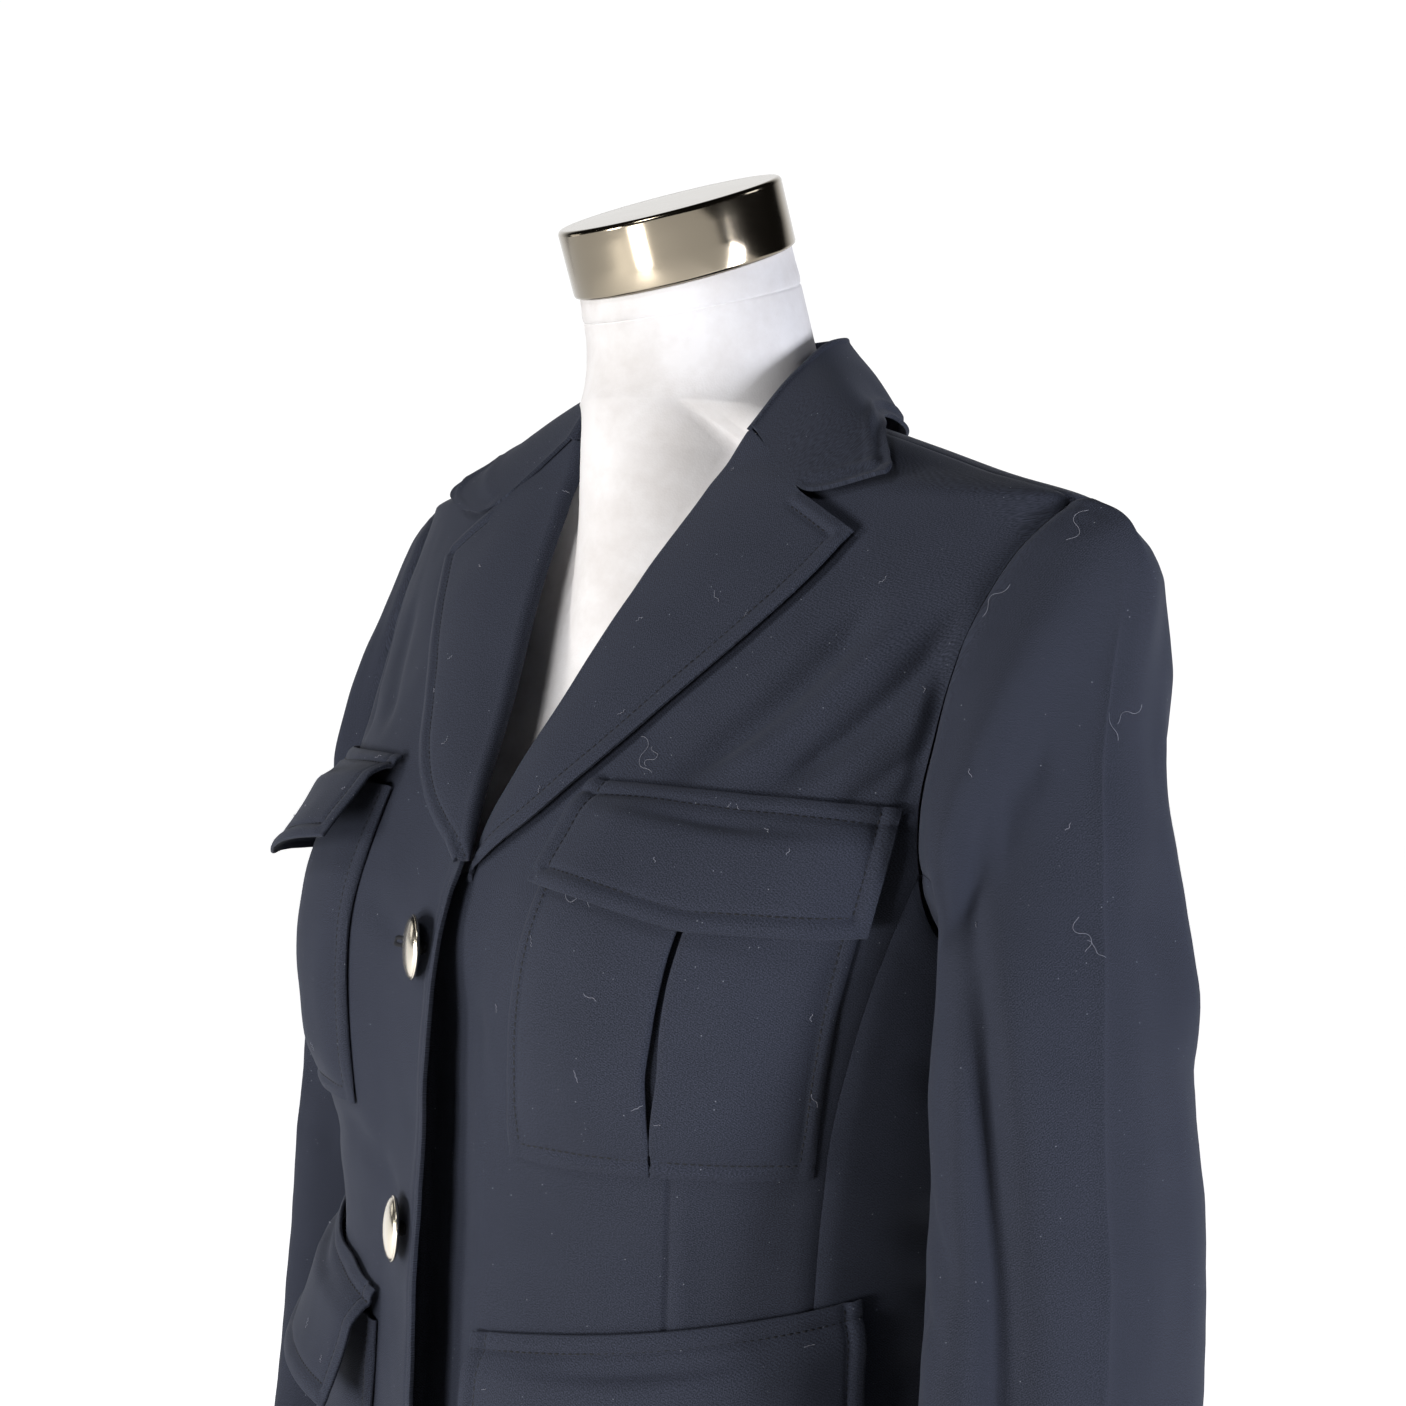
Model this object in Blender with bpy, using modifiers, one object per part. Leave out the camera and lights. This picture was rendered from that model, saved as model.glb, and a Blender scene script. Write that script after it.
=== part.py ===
"""A woman's navy field blazer on a limbless dress form.

Metres, +Z up, +X to the wearer's left, -Y to the front. The form stands on z = 0, and the jacket's
heights are given as drops below the neck point, where the shoulder seam meets the collar.
Angles run round the body from the centre front, in degrees in the tables and in radians elsewhere.
"""

import math

import bmesh
import bpy
import numpy as np
from mathutils import Vector

# Driving dimensions
NECK_POINT = 0.700
LENGTH = 0.650
WALL = 0.0018
THIN_WALL = 0.0012
SEAM_GAP = 0.0003
ANGLE_GAP = 0.0014
SHOULDER_GAP = 0.0100
FRONT_EDGE_X = 0.012
UNDER_EDGE_X = -0.012
BUTTON_X = -0.006
OVERLAP_START_X = 0.034
OVERLAP_TOP_DROP = 0.110
BREAK_DROP = 0.197
BUTTON_DROPS = (0.233, 0.348, 0.463)
BUTTON_RADIUS = 0.0135
NECK_TILT = math.radians(23.5)
CAP_TOP = Vector((0.0, -0.041, NECK_POINT + 0.0895))
CAP_RADIUS = 0.0502
CAP_HEIGHT = 0.030

# How far the right front's edge stands off the left front
OVERLAP = {
    "drop": (0.150, 0.197, 0.240, 0.300, 0.400, 0.650),
    "lift": (0.0050, 0.0080, 0.0100, 0.0130, 0.0140, 0.0110),
}

# The cloth's outer sections. Front and back are depths from the middle, and a higher fullness makes a
# squarer section.
SECTIONS = {
    "drop": (0.000, 0.013, 0.027, 0.040, 0.080, 0.130, 0.180,
             0.235, 0.300, 0.360, 0.410, 0.470, 0.550, 0.700),
    "half_width": (0.066, 0.112, 0.158, 0.202, 0.203, 0.198, 0.188,
                   0.177, 0.166, 0.156, 0.155, 0.166, 0.180, 0.187),
    "front": (0.040, 0.042, 0.046, 0.054, 0.079, 0.105, 0.127,
              0.138, 0.140, 0.140, 0.140, 0.140, 0.141, 0.141),
    "back": (0.056, 0.063, 0.071, 0.080, 0.100, 0.113, 0.115,
             0.110, 0.101, 0.096, 0.098, 0.108, 0.122, 0.130),
    "fullness":   (2.10, 2.10, 2.10, 2.10, 2.30, 2.50, 2.50, 2.40, 2.30, 2.20, 2.20, 2.20, 2.20, 2.20),
}
BUST = {"x": 0.092, "drop": 0.240, "depth": 0.020, "across": 0.062, "above": 0.070, "below": 0.085}

# Grid rows: the share of a panel's rows that lie below the armpit, and where a front's neck begins
ARMPIT_ROW = 0.6
NECK_ROW = 0.90
BODY_ROWS = 13
BACK_CAP_ROWS = 8

# Cut lines
SIDE_DROP = 0.185
SHOULDER_SHARE = 0.5
SHOULDER_ANGLE = 86.0
GORGE_X = 0.0585
GORGE_DROP = 0.013
ARMHOLE = {
    "along": (0.00, 0.08, 0.16, 0.27, 0.39, 0.50, 0.58, 0.65, 0.72, 0.80, 0.89, 0.95, 1.00),
    "angle": (86.0, 77.0, 70.0, 65.5, 67.0, 72.0, 80.0, 90.0, 101.0, 112.0, 118.0, 108.0, 86.0),
    "drop":  (0.0405, 0.050, 0.066, 0.100, 0.145, 0.185, 0.212, 0.222, 0.212, 0.185, 0.125, 0.062, 0.0405),
}
FRONT_SEAM_ALONG = 0.50
BACK_SEAM_ALONG = 0.80
FRONT_SEAM = {"drop": (0.185, 0.240, 0.300, 0.360, 0.700), "angle": (72.0, 69.0, 67.0, 67.5, 66.0)}
BACK_SEAM = {"drop": (0.185, 0.240, 0.300, 0.400, 0.700), "angle": (112.0, 116.0, 118.0, 120.0, 117.0)}

# Lapels, in front view: where the outer edge and the top edge run
LAPEL_EDGE = {
    "along": (0.0, 0.16, 0.30, 0.45, 0.86, 1.0),
    "x":     (0.0190, 0.0450, 0.0610, 0.0790, 0.1230, 0.1335),
    "drop":  (0.1960, 0.1755, 0.1580, 0.1355, 0.0775, 0.0570),
}
NOTCH_X = 0.103
NOTCH_DROP = 0.0420
NOTCH_SHARE = 0.58
LAPEL_LIFT = 0.0055
LAPEL_ROLL_LIFT = 0.0032
LAPEL_WRAP = 0.0044
GORGE_GAP = 0.0008

# Collar, from the centre back to the front end: neck seam, roll and outer edge
COLLAR_INSET = 0.965
COLLAR_SEAM_RISE = 0.0014
COLLAR_LIFT = 0.0050
COLLAR_BULGE = 0.0025
COLLAR = {
    "along":      (0.00, 0.25, 0.50, 0.75, 1.00),
    "seam_angle": (180.0, 145.0, 100.0, 60.0, 31.0),
    "seam_drop":  (0.000, 0.000, 0.000, 0.004, 0.0135),
    "roll_x":     (0.000, 0.034, 0.054, 0.061, 0.0580),
    "roll_y":     (0.047, 0.038, 0.010, -0.018, -0.0400),
    "roll_rise":  (0.038, 0.037, 0.031, 0.014, -0.0117),
    "edge_angle": (180.0, 148.0, 108.0, 71.0, 45.0),
    "edge_drop":  (0.018, 0.0105, 0.0055, 0.0150, 0.0355),
}

# Sleeves: an ellipse at each drop, and the angle round the arm that each part of the armhole feeds
SLEEVE = {
    "drop":  (0.150, 0.250, 0.340, 0.420, 0.520, 0.620),
    "x":     (0.1960, 0.2135, 0.2145, 0.2155, 0.2200, 0.2255),
    "y":     (0.005, 0.000, 0.007, 0.008, 0.003, -0.004),
    "thick": (0.0310, 0.0340, 0.0395, 0.0400, 0.0380, 0.0340),
    "wide":  (0.0410, 0.0630, 0.0700, 0.0710, 0.0660, 0.0560),
}
SLEEVE_FEED = {"along": (0.0, 0.27, 0.65, 0.89, 1.0), "round": (0.0, 82.0, 180.0, 262.0, 360.0)}
SLEEVE_END = 0.620
CAP_ROW = 0.55
CAP_DROP = 0.2100
CAP_DROP_SWING = 0.0600
HEAD_HANDLE = 0.48
ARM_HANDLE = 0.60
UNDER_SLEEVE = (0.50, 0.80)
SLEEVE_GAP = 0.0034

# Pockets and flaps: angles and drops of their inner and outer sides
CHEST_POCKET = {
    "width": 0.125, "inner": 19.2, "outer": 64.8,
    "top": (0.1720, 0.1720), "bottom": (0.3060, 0.3035),
}
CHEST_FLAP = {
    "inner": 19.3, "outer": 65.6,
    "top": (0.1590, 0.1600), "depth": (0.042, 0.052, 0.048),
}
HIP_POCKET = {
    "width": 0.165, "inner": 13.0, "outer": 74.0,
    "top": (0.3950, 0.3680), "bottom": (0.5650, 0.5480),
}
HIP_FLAP = {
    "inner": 12.4, "outer": 75.0,
    "top": (0.3810, 0.3530), "depth": (0.048, 0.060, 0.050),
}
POCKET_HEIGHTS = {"low": 0.0015, "middle": 0.0042, "high": 0.0068}
PLEAT_DEPTH = 0.014
PLEAT_OPEN = (0.0004, 0.0028)
BAG_EDGE_HEIGHT = 0.0012
BAG_LIFT = 0.0004
FLAP_SEAT = 0.0017
FLAP_SWELL = 0.0096
FLAP_FLARE = {"left": 0.0130, "right": 0.0230}

# The form keeps this clearance inside the cloth, and its side is drawn in at the arms
FORM = {
    "drop":      (0.013, 0.030, 0.045, 0.080, 0.130, 0.180, 0.240, 0.300, 0.370, 0.450, 0.550, 0.700),
    "clearance": (0.0046, 0.0038, 0.0034, 0.008, 0.013, 0.012, 0.009, 0.017, 0.022, 0.020, 0.018, 0.018),
    "side":      (1.00, 1.00, 0.94, 0.86, 0.85, 0.87, 0.93, 0.96, 0.96, 0.97, 0.98, 0.98),
}
FORM_DROPS = (0.70, 0.64, 0.57, 0.50, 0.43, 0.37, 0.32, 0.28, 0.24, 0.20, 0.16, 0.12, 0.08, 0.055, 0.040,
              0.027, 0.014)
FORM_ROOM = 0.009
FORM_SIDES = 36
FORM_FRONT_SHARE = 0.35
NECK = {
    "step":   (0.0, 0.15, 0.35, 0.65, 1.0),
    "radius": (0.0540, 0.0525, 0.0510, 0.0490, 0.0480),
    "front":  (0.0720, 0.0660, 0.0590, 0.0520, 0.0480),
    "back":   (0.0430, 0.0430, 0.0450, 0.0470, 0.0480),
}
# The throat stands proud of the cloth's sections, in the opening between the lapels
THROAT_HALF_WIDTH = 0.049
THROAT = {
    "drop":  (0.000, 0.020, 0.045, 0.080, 0.110),
    "depth": (0.073, 0.072, 0.071, 0.073, 0.075),
}

# Finishes: colour, roughness, metallic
NAVY = ((0.020, 0.024, 0.038), 0.85, 0.0)
METAL = ((0.62, 0.57, 0.49), 0.22, 1.0)
JERSEY = ((0.84, 0.83, 0.82), 0.80, 0.0)


def smooth(table, column, at, by="drop"):
    """Read a column of a table at any place, on a smooth curve that never overshoots its rows."""
    x = np.asarray(table[by], float)
    y = np.asarray(table[column], float)
    at = np.clip(np.asarray(at, float), x[0], x[-1])
    step = np.diff(x)
    rise = np.diff(y) / step
    slope = np.zeros_like(y)
    turns = rise[1:] * rise[:-1] <= 0
    total = np.where(turns, 1, rise[1:] + rise[:-1])
    slope[1:-1] = np.where(turns, 0, 2 * rise[1:] * rise[:-1] / total)
    slope[0] = rise[0]
    slope[-1] = rise[-1]
    i = np.clip(np.searchsorted(x, at, side="right") - 1, 0, len(step) - 1)
    t = (at - x[i]) / step[i]
    start = (1 + 2 * t) * (1 - t) ** 2 * y[i] + t * (1 - t) ** 2 * step[i] * slope[i]
    end = t * t * (3 - 2 * t) * y[i + 1] + t * t * (t - 1) * step[i] * slope[i + 1]
    return start + end


def mix(a, b, t):
    return a * (1 - t) + b * t


def ease(t):
    t = np.clip(t, 0, 1)
    return t * t * (3 - 2 * t)


def body(angle, drop):
    """The cloth's outer surface at an angle round from the centre front and a drop."""
    width = smooth(SECTIONS, "half_width", drop)
    power = 1 / smooth(SECTIONS, "fullness", drop)
    facing = np.cos(angle)
    depth = np.where(facing > 0, -smooth(SECTIONS, "front", drop), smooth(SECTIONS, "back", drop))
    x = width * np.sin(angle)
    y = depth * (facing * facing) ** power
    reach = np.where(drop < BUST["drop"], BUST["above"], BUST["below"])
    fall = np.exp(-((drop - BUST["drop"]) / reach) ** 2)
    side = np.exp(-((np.abs(x) - BUST["x"]) / BUST["across"]) ** 2)
    y = y - BUST["depth"] * fall * side * np.clip(facing * 3, 0, 1)
    return np.stack(np.broadcast_arrays(x, y, NECK_POINT - drop), axis=-1)


def outward(angle, drop):
    """The body surface's own normal."""
    turn, fall = 0.004, 0.001
    across = body(angle + turn, drop) - body(angle - turn, drop)
    down = body(angle, drop + fall) - body(angle, drop - fall)
    out = np.cross(down, across)
    return out / np.maximum(np.linalg.norm(out, axis=-1, keepdims=True), 1e-12)


def over_body(angle, drop, lift=0.0):
    """A point of the body moved out along its normal."""
    angle, drop, lift = np.broadcast_arrays(angle, drop, lift)
    return body(angle, drop) + lift[..., None] * outward(angle, drop)


def angle_at(x, drop):
    """The angle at which the body's section at this drop is x from the centre."""
    return np.arcsin(np.clip(x / smooth(SECTIONS, "half_width", drop), -1, 1))


def armhole(along):
    angle = np.radians(smooth(ARMHOLE, "angle", along, "along"))
    return angle, smooth(ARMHOLE, "drop", along, "along")


def back_cap():
    """Shares of the back armhole, closer together towards the shoulder, shared by back and sleeve."""
    return 1 - (1 - steps(BACK_CAP_ROWS)) ** 1.4


def roll_line(side, up):
    """From the break (0) to the gorge (1), as a front view x on the wearer's own side and a drop."""
    return mix(FRONT_EDGE_X * side, GORGE_X, up), mix(BREAK_DROP, GORGE_DROP, up)


def overlap_lift(angle, drop):
    """How far the right front stands off the left one, rising towards its edge."""
    x = np.sin(angle) * smooth(SECTIONS, "half_width", drop)
    share = np.clip((OVERLAP_START_X - x) / (OVERLAP_START_X + FRONT_EDGE_X), 0, 1)
    below_lapel = ease((drop - OVERLAP_TOP_DROP) / 0.060)
    return smooth(OVERLAP, "lift", drop) * share ** 1.5 * below_lapel


def material(name, colour, roughness, metallic=0.0):
    made = bpy.data.materials.new(name)
    made.use_nodes = True
    shader = made.node_tree.nodes["Principled BSDF"]
    shader.inputs["Base Color"].default_value = (*colour, 1)
    shader.inputs["Roughness"].default_value = roughness
    shader.inputs["Metallic"].default_value = metallic
    return made


def add_object(name, mesh, finish, parent):
    made = bpy.data.objects.new(name, mesh)
    bpy.data.collections["field_blazer"].objects.link(made)
    mesh.materials.append(material(name + "_finish", *finish))
    made.parent = parent
    return made


def cloth(name, place, columns, rows, parent, flip=False, wall=WALL, offset=-1.0):
    """A thin wall: a grid whose points are placed by place(u, v), thickened by Solidify."""
    bm = bmesh.new()
    bmesh.ops.create_grid(bm, x_segments=len(columns) - 1, y_segments=len(rows) - 1, size=0.5)
    bm.verts.ensure_lookup_table()
    grid = np.array([vertex.co for vertex in bm.verts]) + 0.5
    i = np.rint(grid[:, 0] * (len(columns) - 1)).astype(int)
    j = np.rint(grid[:, 1] * (len(rows) - 1)).astype(int)
    points = place(np.asarray(columns, float)[i], np.asarray(rows, float)[j])
    for vertex, point in zip(bm.verts, points):
        vertex.co = point
    if flip:
        bmesh.ops.reverse_faces(bm, faces=bm.faces[:])
    mesh = bpy.data.meshes.new(name)
    bm.to_mesh(mesh)
    bm.free()
    mesh.shade_smooth()
    made = add_object(name, mesh, NAVY, parent)
    thicken = made.modifiers.new("wall", "SOLIDIFY")
    thicken.thickness = wall
    thicken.offset = offset
    return made


def mirrored(side, points):
    """The same points on the wearer's left (1) or right (-1)."""
    return points * np.array([side, 1.0, 1.0])


def steps(count, start=0.0, end=1.0):
    return np.linspace(start, end, count + 1)


def make_front(side, name, parent):
    """A front: hem to shoulder seam, front edge and roll line to side seam and armhole."""
    edge_x = UNDER_EDGE_X if side > 0 else -FRONT_EDGE_X
    columns = np.concatenate([steps(2, 0.0, 0.12), steps(11, 0.12, 1.0)[1:]])
    rows = np.concatenate([steps(BODY_ROWS, 0.0, ARMPIT_ROW), steps(10, ARMPIT_ROW, 1.0)[1:]])

    def place(u, v):
        low = np.clip(v / ARMPIT_ROW, 0, 1)
        high = np.clip((v - ARMPIT_ROW) / (1 - ARMPIT_ROW), 0, 1)
        up_roll = np.clip((v - ARMPIT_ROW) / (NECK_ROW - ARMPIT_ROW), 0, 1)
        to_neck = np.clip((v - NECK_ROW) / (1 - NECK_ROW), 0, 1)
        edge_drop = mix(LENGTH, BREAK_DROP, low)
        roll_x, roll_drop = roll_line(side, up_roll)
        near_break = ease((v - ARMPIT_ROW + 0.06) / 0.06)
        front_x = mix(edge_x, FRONT_EDGE_X * side, near_break)
        inner_x = np.where(v > ARMPIT_ROW, roll_x, front_x)
        inner_drop = np.where(v > ARMPIT_ROW, roll_drop, edge_drop)
        inner = angle_at(inner_x, inner_drop)
        inner = mix(inner, math.radians(SHOULDER_ANGLE) - SHOULDER_GAP, to_neck ** 1.3)
        inner_drop = mix(inner_drop, 0.0, to_neck)
        hole_angle, hole_drop = armhole(mix(FRONT_SEAM_ALONG, 0.0, high))
        seam_drop = mix(LENGTH, SIDE_DROP, low)
        seam_angle = np.radians(smooth(FRONT_SEAM, "angle", seam_drop))
        outer = np.where(v > ARMPIT_ROW, hole_angle, seam_angle)
        outer_drop = np.where(v > ARMPIT_ROW, hole_drop, seam_drop)
        outer = outer - mix(ANGLE_GAP, SHOULDER_GAP, high)
        angle = mix(inner, outer, u)
        drop = mix(inner_drop, outer_drop, u)
        lift = overlap_lift(angle, drop) if side < 0 else 0.0
        return mirrored(side, over_body(angle, drop, lift))

    return cloth(name, place, columns, rows, parent, flip=side < 0)


def make_side(side, name, parent):
    """A side panel, from the hem to the lower part of the armhole."""
    def place(u, v):
        top_angle, top_drop = armhole(mix(FRONT_SEAM_ALONG, BACK_SEAM_ALONG, u))
        drop = mix(LENGTH, top_drop, v)
        front = np.radians(smooth(FRONT_SEAM, "angle", drop))
        back = np.radians(smooth(BACK_SEAM, "angle", drop))
        straight = mix(front, back, u)
        near_top = ease((v - 0.7) / 0.3)
        gap = mix(ANGLE_GAP, -ANGLE_GAP, u)
        return mirrored(side, over_body(mix(straight, top_angle, near_top) + gap, drop))

    return cloth(name, place, steps(6), steps(BODY_ROWS), parent, flip=side < 0)


def make_back(side, name, parent):
    """A back: centre seam to side seam, armhole and shoulder seam."""
    def place(u, v):
        low = np.clip(v / ARMPIT_ROW, 0, 1)
        high = np.clip((v - ARMPIT_ROW) / (1 - ARMPIT_ROW), 0, 1)
        hole_angle, hole_drop = armhole(mix(BACK_SEAM_ALONG, 1.0, high))
        seam_drop = mix(LENGTH, SIDE_DROP, low)
        seam_angle = np.radians(smooth(BACK_SEAM, "angle", seam_drop))
        outer = np.where(v > ARMPIT_ROW, hole_angle, seam_angle) + mix(ANGLE_GAP, SHOULDER_GAP, high)
        outer_drop = np.where(v > ARMPIT_ROW, hole_drop, seam_drop)
        centre_drop = np.where(v > ARMPIT_ROW, mix(SIDE_DROP, 0.0, high), seam_drop)
        seam_end = math.radians(SHOULDER_ANGLE) + SHOULDER_GAP
        seam_share = np.clip(u / SHOULDER_SHARE, 0, 1)
        neck_share = np.clip((u - SHOULDER_SHARE) / (1 - SHOULDER_SHARE), 0, 1)
        top_angle = mix(seam_end, math.pi, neck_share)
        top_drop = mix(ARMHOLE["drop"][0], 0.0, seam_share)
        to_top = high ** 2.5
        angle = mix(outer, math.pi, u) + (top_angle - mix(seam_end, math.pi, u)) * to_top
        drop = mix(outer_drop, centre_drop, u) + (top_drop - mix(ARMHOLE["drop"][0], 0.0, u)) * to_top
        points = over_body(angle, drop)
        points[:, 0] = np.maximum(points[:, 0], SEAM_GAP)
        return mirrored(side, points)

    rows = np.concatenate([steps(BODY_ROWS, 0.0, ARMPIT_ROW), ARMPIT_ROW + (1 - ARMPIT_ROW) * back_cap()[1:]])
    return cloth(name, place, steps(10), rows, parent, flip=side < 0)


def sleeve_point(along, drop):
    """The arm's tube: an ellipse whose front, inner, back and outer sides follow the armhole."""
    turn = np.radians(smooth(SLEEVE_FEED, "round", along, "along"))
    x = smooth(SLEEVE, "x", drop) + smooth(SLEEVE, "thick", drop) * np.cos(turn)
    y = smooth(SLEEVE, "y", drop) - smooth(SLEEVE, "wide", drop) * np.sin(turn)
    return np.stack(np.broadcast_arrays(x, y, NECK_POINT - drop), axis=-1)


def make_sleeve(side, name, alongs, parent):
    """One piece of a sleeve: a straight tube below, and a cap that runs into the armhole."""
    def place(u, v):
        along = np.clip(u, alongs[0] + SLEEVE_GAP, alongs[-1] - SLEEVE_GAP) % 1.0
        turn = np.radians(smooth(SLEEVE_FEED, "round", along, "along"))
        cap_drop = CAP_DROP - CAP_DROP_SWING * np.cos(turn)
        low = np.clip(v / CAP_ROW, 0, 1)
        high = np.clip((v - CAP_ROW) / (1 - CAP_ROW), 0, 1)[:, None]
        tube = sleeve_point(along, mix(SLEEVE_END, cap_drop, low))
        angle, drop = armhole(along)
        rise = np.clip(outward(angle, drop)[:, 2], 0, 1)
        away = np.array([1.0, 0.12, 0.0]) + rise[:, None] * np.array([0.0, 0.0, 0.25])
        away /= np.linalg.norm(away, axis=-1, keepdims=True)
        start = body(angle, drop) + away * SEAM_GAP * 2
        end = sleeve_point(along, cap_drop)
        below = sleeve_point(along, cap_drop + 0.01)
        reach = np.linalg.norm(end - start, axis=-1, keepdims=True)
        upward = (end - below) / np.linalg.norm(end - below, axis=-1, keepdims=True)
        first_handle = start + away * reach * HEAD_HANDLE
        last_handle = end + upward * reach * ARM_HANDLE
        t = 1 - high
        curve = ((1 - t) ** 3 * start + 3 * t * (1 - t) ** 2 * first_handle
                 + 3 * t * t * (1 - t) * last_handle + t ** 3 * end)
        return mirrored(side, np.where(v[:, None] > CAP_ROW, curve, tube))

    rows = np.concatenate([steps(8, 0.0, CAP_ROW), steps(7, CAP_ROW, 1.0)[1:]])
    return cloth(name, place, alongs, rows, parent, flip=side > 0)


def make_lapel(side, name, parent):
    """A lapel: it wraps the front's roll line and lies over the front."""
    def place(u, v):
        roll_x, roll_drop = roll_line(side, v)
        edge_x = smooth(LAPEL_EDGE, "x", v, "along")
        edge_drop = smooth(LAPEL_EDGE, "drop", v, "along")
        if side < 0:
            edge_x = edge_x - 2 * FRONT_EDGE_X * (1 - v) ** 3
        across = np.clip(u, 0, 1)
        tip_x = LAPEL_EDGE["x"][-1]
        tip_drop = LAPEL_EDGE["drop"][-1]
        before = np.clip(across / NOTCH_SHARE, 0, 1)
        after = np.clip((across - NOTCH_SHARE) / (1 - NOTCH_SHARE), 0, 1)
        on_gorge = across < NOTCH_SHARE
        top_x = np.where(on_gorge, mix(GORGE_X, NOTCH_X, before), mix(NOTCH_X, tip_x, after))
        top_drop = np.where(on_gorge, mix(GORGE_DROP, NOTCH_DROP, before), mix(NOTCH_DROP, tip_drop, after))
        flat_x = mix(GORGE_X, tip_x, across)
        flat_drop = mix(GORGE_DROP, tip_drop, across)
        blend = v ** 3
        x = mix(roll_x, edge_x, across) + (top_x - flat_x) * blend
        drop = mix(roll_drop, edge_drop, across) + (top_drop - flat_drop) * blend + GORGE_GAP * v
        x = x + np.where(u < 0, u, 0) * LAPEL_WRAP
        over_front = overlap_lift(angle_at(x, drop), drop) if side < 0 else 0.0
        lift = LAPEL_ROLL_LIFT + (LAPEL_LIFT - LAPEL_ROLL_LIFT) * np.sin(across * math.pi * 0.75)
        lift = np.where(u < -0.5, -0.0012, np.where(u < 0, 0.0008, lift)) + over_front
        return mirrored(side, over_body(angle_at(x, drop), drop, lift))

    columns = [-1.0, -0.9, 0.0, 0.18, 0.38, NOTCH_SHARE, 0.79, 1.0]
    return cloth(name, place, columns, steps(14, 0.03, 1.0), parent, flip=side < 0)


def make_collar(parent):
    """The collar: a stand from the neck seam up to the roll, and a fall over the shoulders."""
    def place(u, v):
        along = np.abs(u)
        seam_angle = np.radians(smooth(COLLAR, "seam_angle", along, "along"))
        seam_drop = smooth(COLLAR, "seam_drop", along, "along")
        seam = body(seam_angle, seam_drop) * np.array([COLLAR_INSET, COLLAR_INSET, 1.0])
        seam[:, 2] += COLLAR_SEAM_RISE
        roll = np.stack([smooth(COLLAR, "roll_x", along, "along"), smooth(COLLAR, "roll_y", along, "along"),
                         NECK_POINT + smooth(COLLAR, "roll_rise", along, "along")], axis=-1)
        edge_angle = np.radians(smooth(COLLAR, "edge_angle", along, "along"))
        edge_drop = smooth(COLLAR, "edge_drop", along, "along")
        edge = over_body(edge_angle, edge_drop, COLLAR_LIFT)
        corner_drop = NOTCH_DROP - 0.0015
        corner = over_body(angle_at(NOTCH_X - 0.001, corner_drop), corner_drop, COLLAR_LIFT)
        middle = mix(roll, edge, 0.5) + np.array([0, 0, COLLAR_BULGE])
        at_end = ease((along - 0.75) / 0.25)[:, None] ** 2
        middle = mix(middle, corner, at_end)
        stand = np.clip(v / 0.3, 0, 1)[:, None]
        fall = np.clip((v - 0.4) / 0.6, 0, 1)[:, None]
        outer_roll = roll + (edge - roll) * np.array([0.06, 0.06, 0.03])
        first = mix(outer_roll, middle, np.clip(fall * 2, 0, 1))
        second = mix(middle, edge, np.clip(fall * 2 - 1, 0, 1))
        falling = np.where(fall < 0.5, first, second)
        points = np.where(v[:, None] <= 0.3, mix(seam, roll, stand), falling)
        top = mix(roll, outer_roll, 0.5) + np.array([0, 0, 0.0016])
        points = np.where(np.abs(v[:, None] - 0.35) < 0.01, top, points)
        return points * np.stack([np.where(u < 0, -1.0, 1.0), np.ones_like(u), np.ones_like(u)], axis=-1)

    rows = [0.0, 0.15, 0.30, 0.35, 0.40, 0.55, 0.70, 0.85, 1.0]
    return cloth("collar", place, steps(24, -1.0, 1.0), rows, parent, offset=0.0, flip=True)


def pleated(half_slit, width):
    """Half of a bag's cross-section, from its side seam to the middle: place across and height."""
    low, middle, high = (POCKET_HEIGHTS[key] for key in ("low", "middle", "high"))
    fold = 0.0009 / width
    slit = half_slit / width
    pleat = PLEAT_DEPTH / width
    return (
        (0.0, BAG_EDGE_HEIGHT), (0.0, 0.0048), (0.02, high), (0.17, high), (0.33, high),
        (0.5 - slit - fold, high), (0.5 - slit, (high + middle) / 2), (0.5 - slit - fold, middle),
        (0.5 - pleat, middle), (0.5 - pleat - fold, (middle + low) / 2), (0.5 - pleat, low), (0.5, low),
    )


def make_pocket(side, name, pocket, parent):
    """A patch bag with an inverted box pleat, from the front's own points moved out."""
    width = pocket["width"]
    count = len(pleated(PLEAT_OPEN[0], width))
    columns = np.arange(2 * count - 1)

    def place(u, v):
        across = np.zeros_like(u)
        height = np.zeros_like(u)
        for k in range(len(u)):
            half = pleated(mix(*PLEAT_OPEN, v[k]), width)
            index = int(u[k])
            mirror_index = 2 * count - 2 - index
            place_across, place_height = half[min(index, mirror_index)]
            across[k] = place_across if index < count else 1 - place_across
            height[k] = place_height
        press = mix(0.62, 1.0, ease(np.minimum(v, 1 - v) * 6))
        height = BAG_EDGE_HEIGHT + (height - BAG_EDGE_HEIGHT) * np.where(height > BAG_EDGE_HEIGHT, press, 1)
        top = mix(pocket["top"][0], pocket["top"][1], across)
        bottom = mix(pocket["bottom"][0], pocket["bottom"][1], across)
        drop = mix(bottom, top, v)
        angle = np.radians(mix(pocket["inner"], pocket["outer"], across))
        return mirrored(side, over_body(angle, drop, height + BAG_LIFT))

    return cloth(name, place, columns, steps(7), parent, flip=side < 0, wall=THIN_WALL, offset=0.0)


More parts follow.
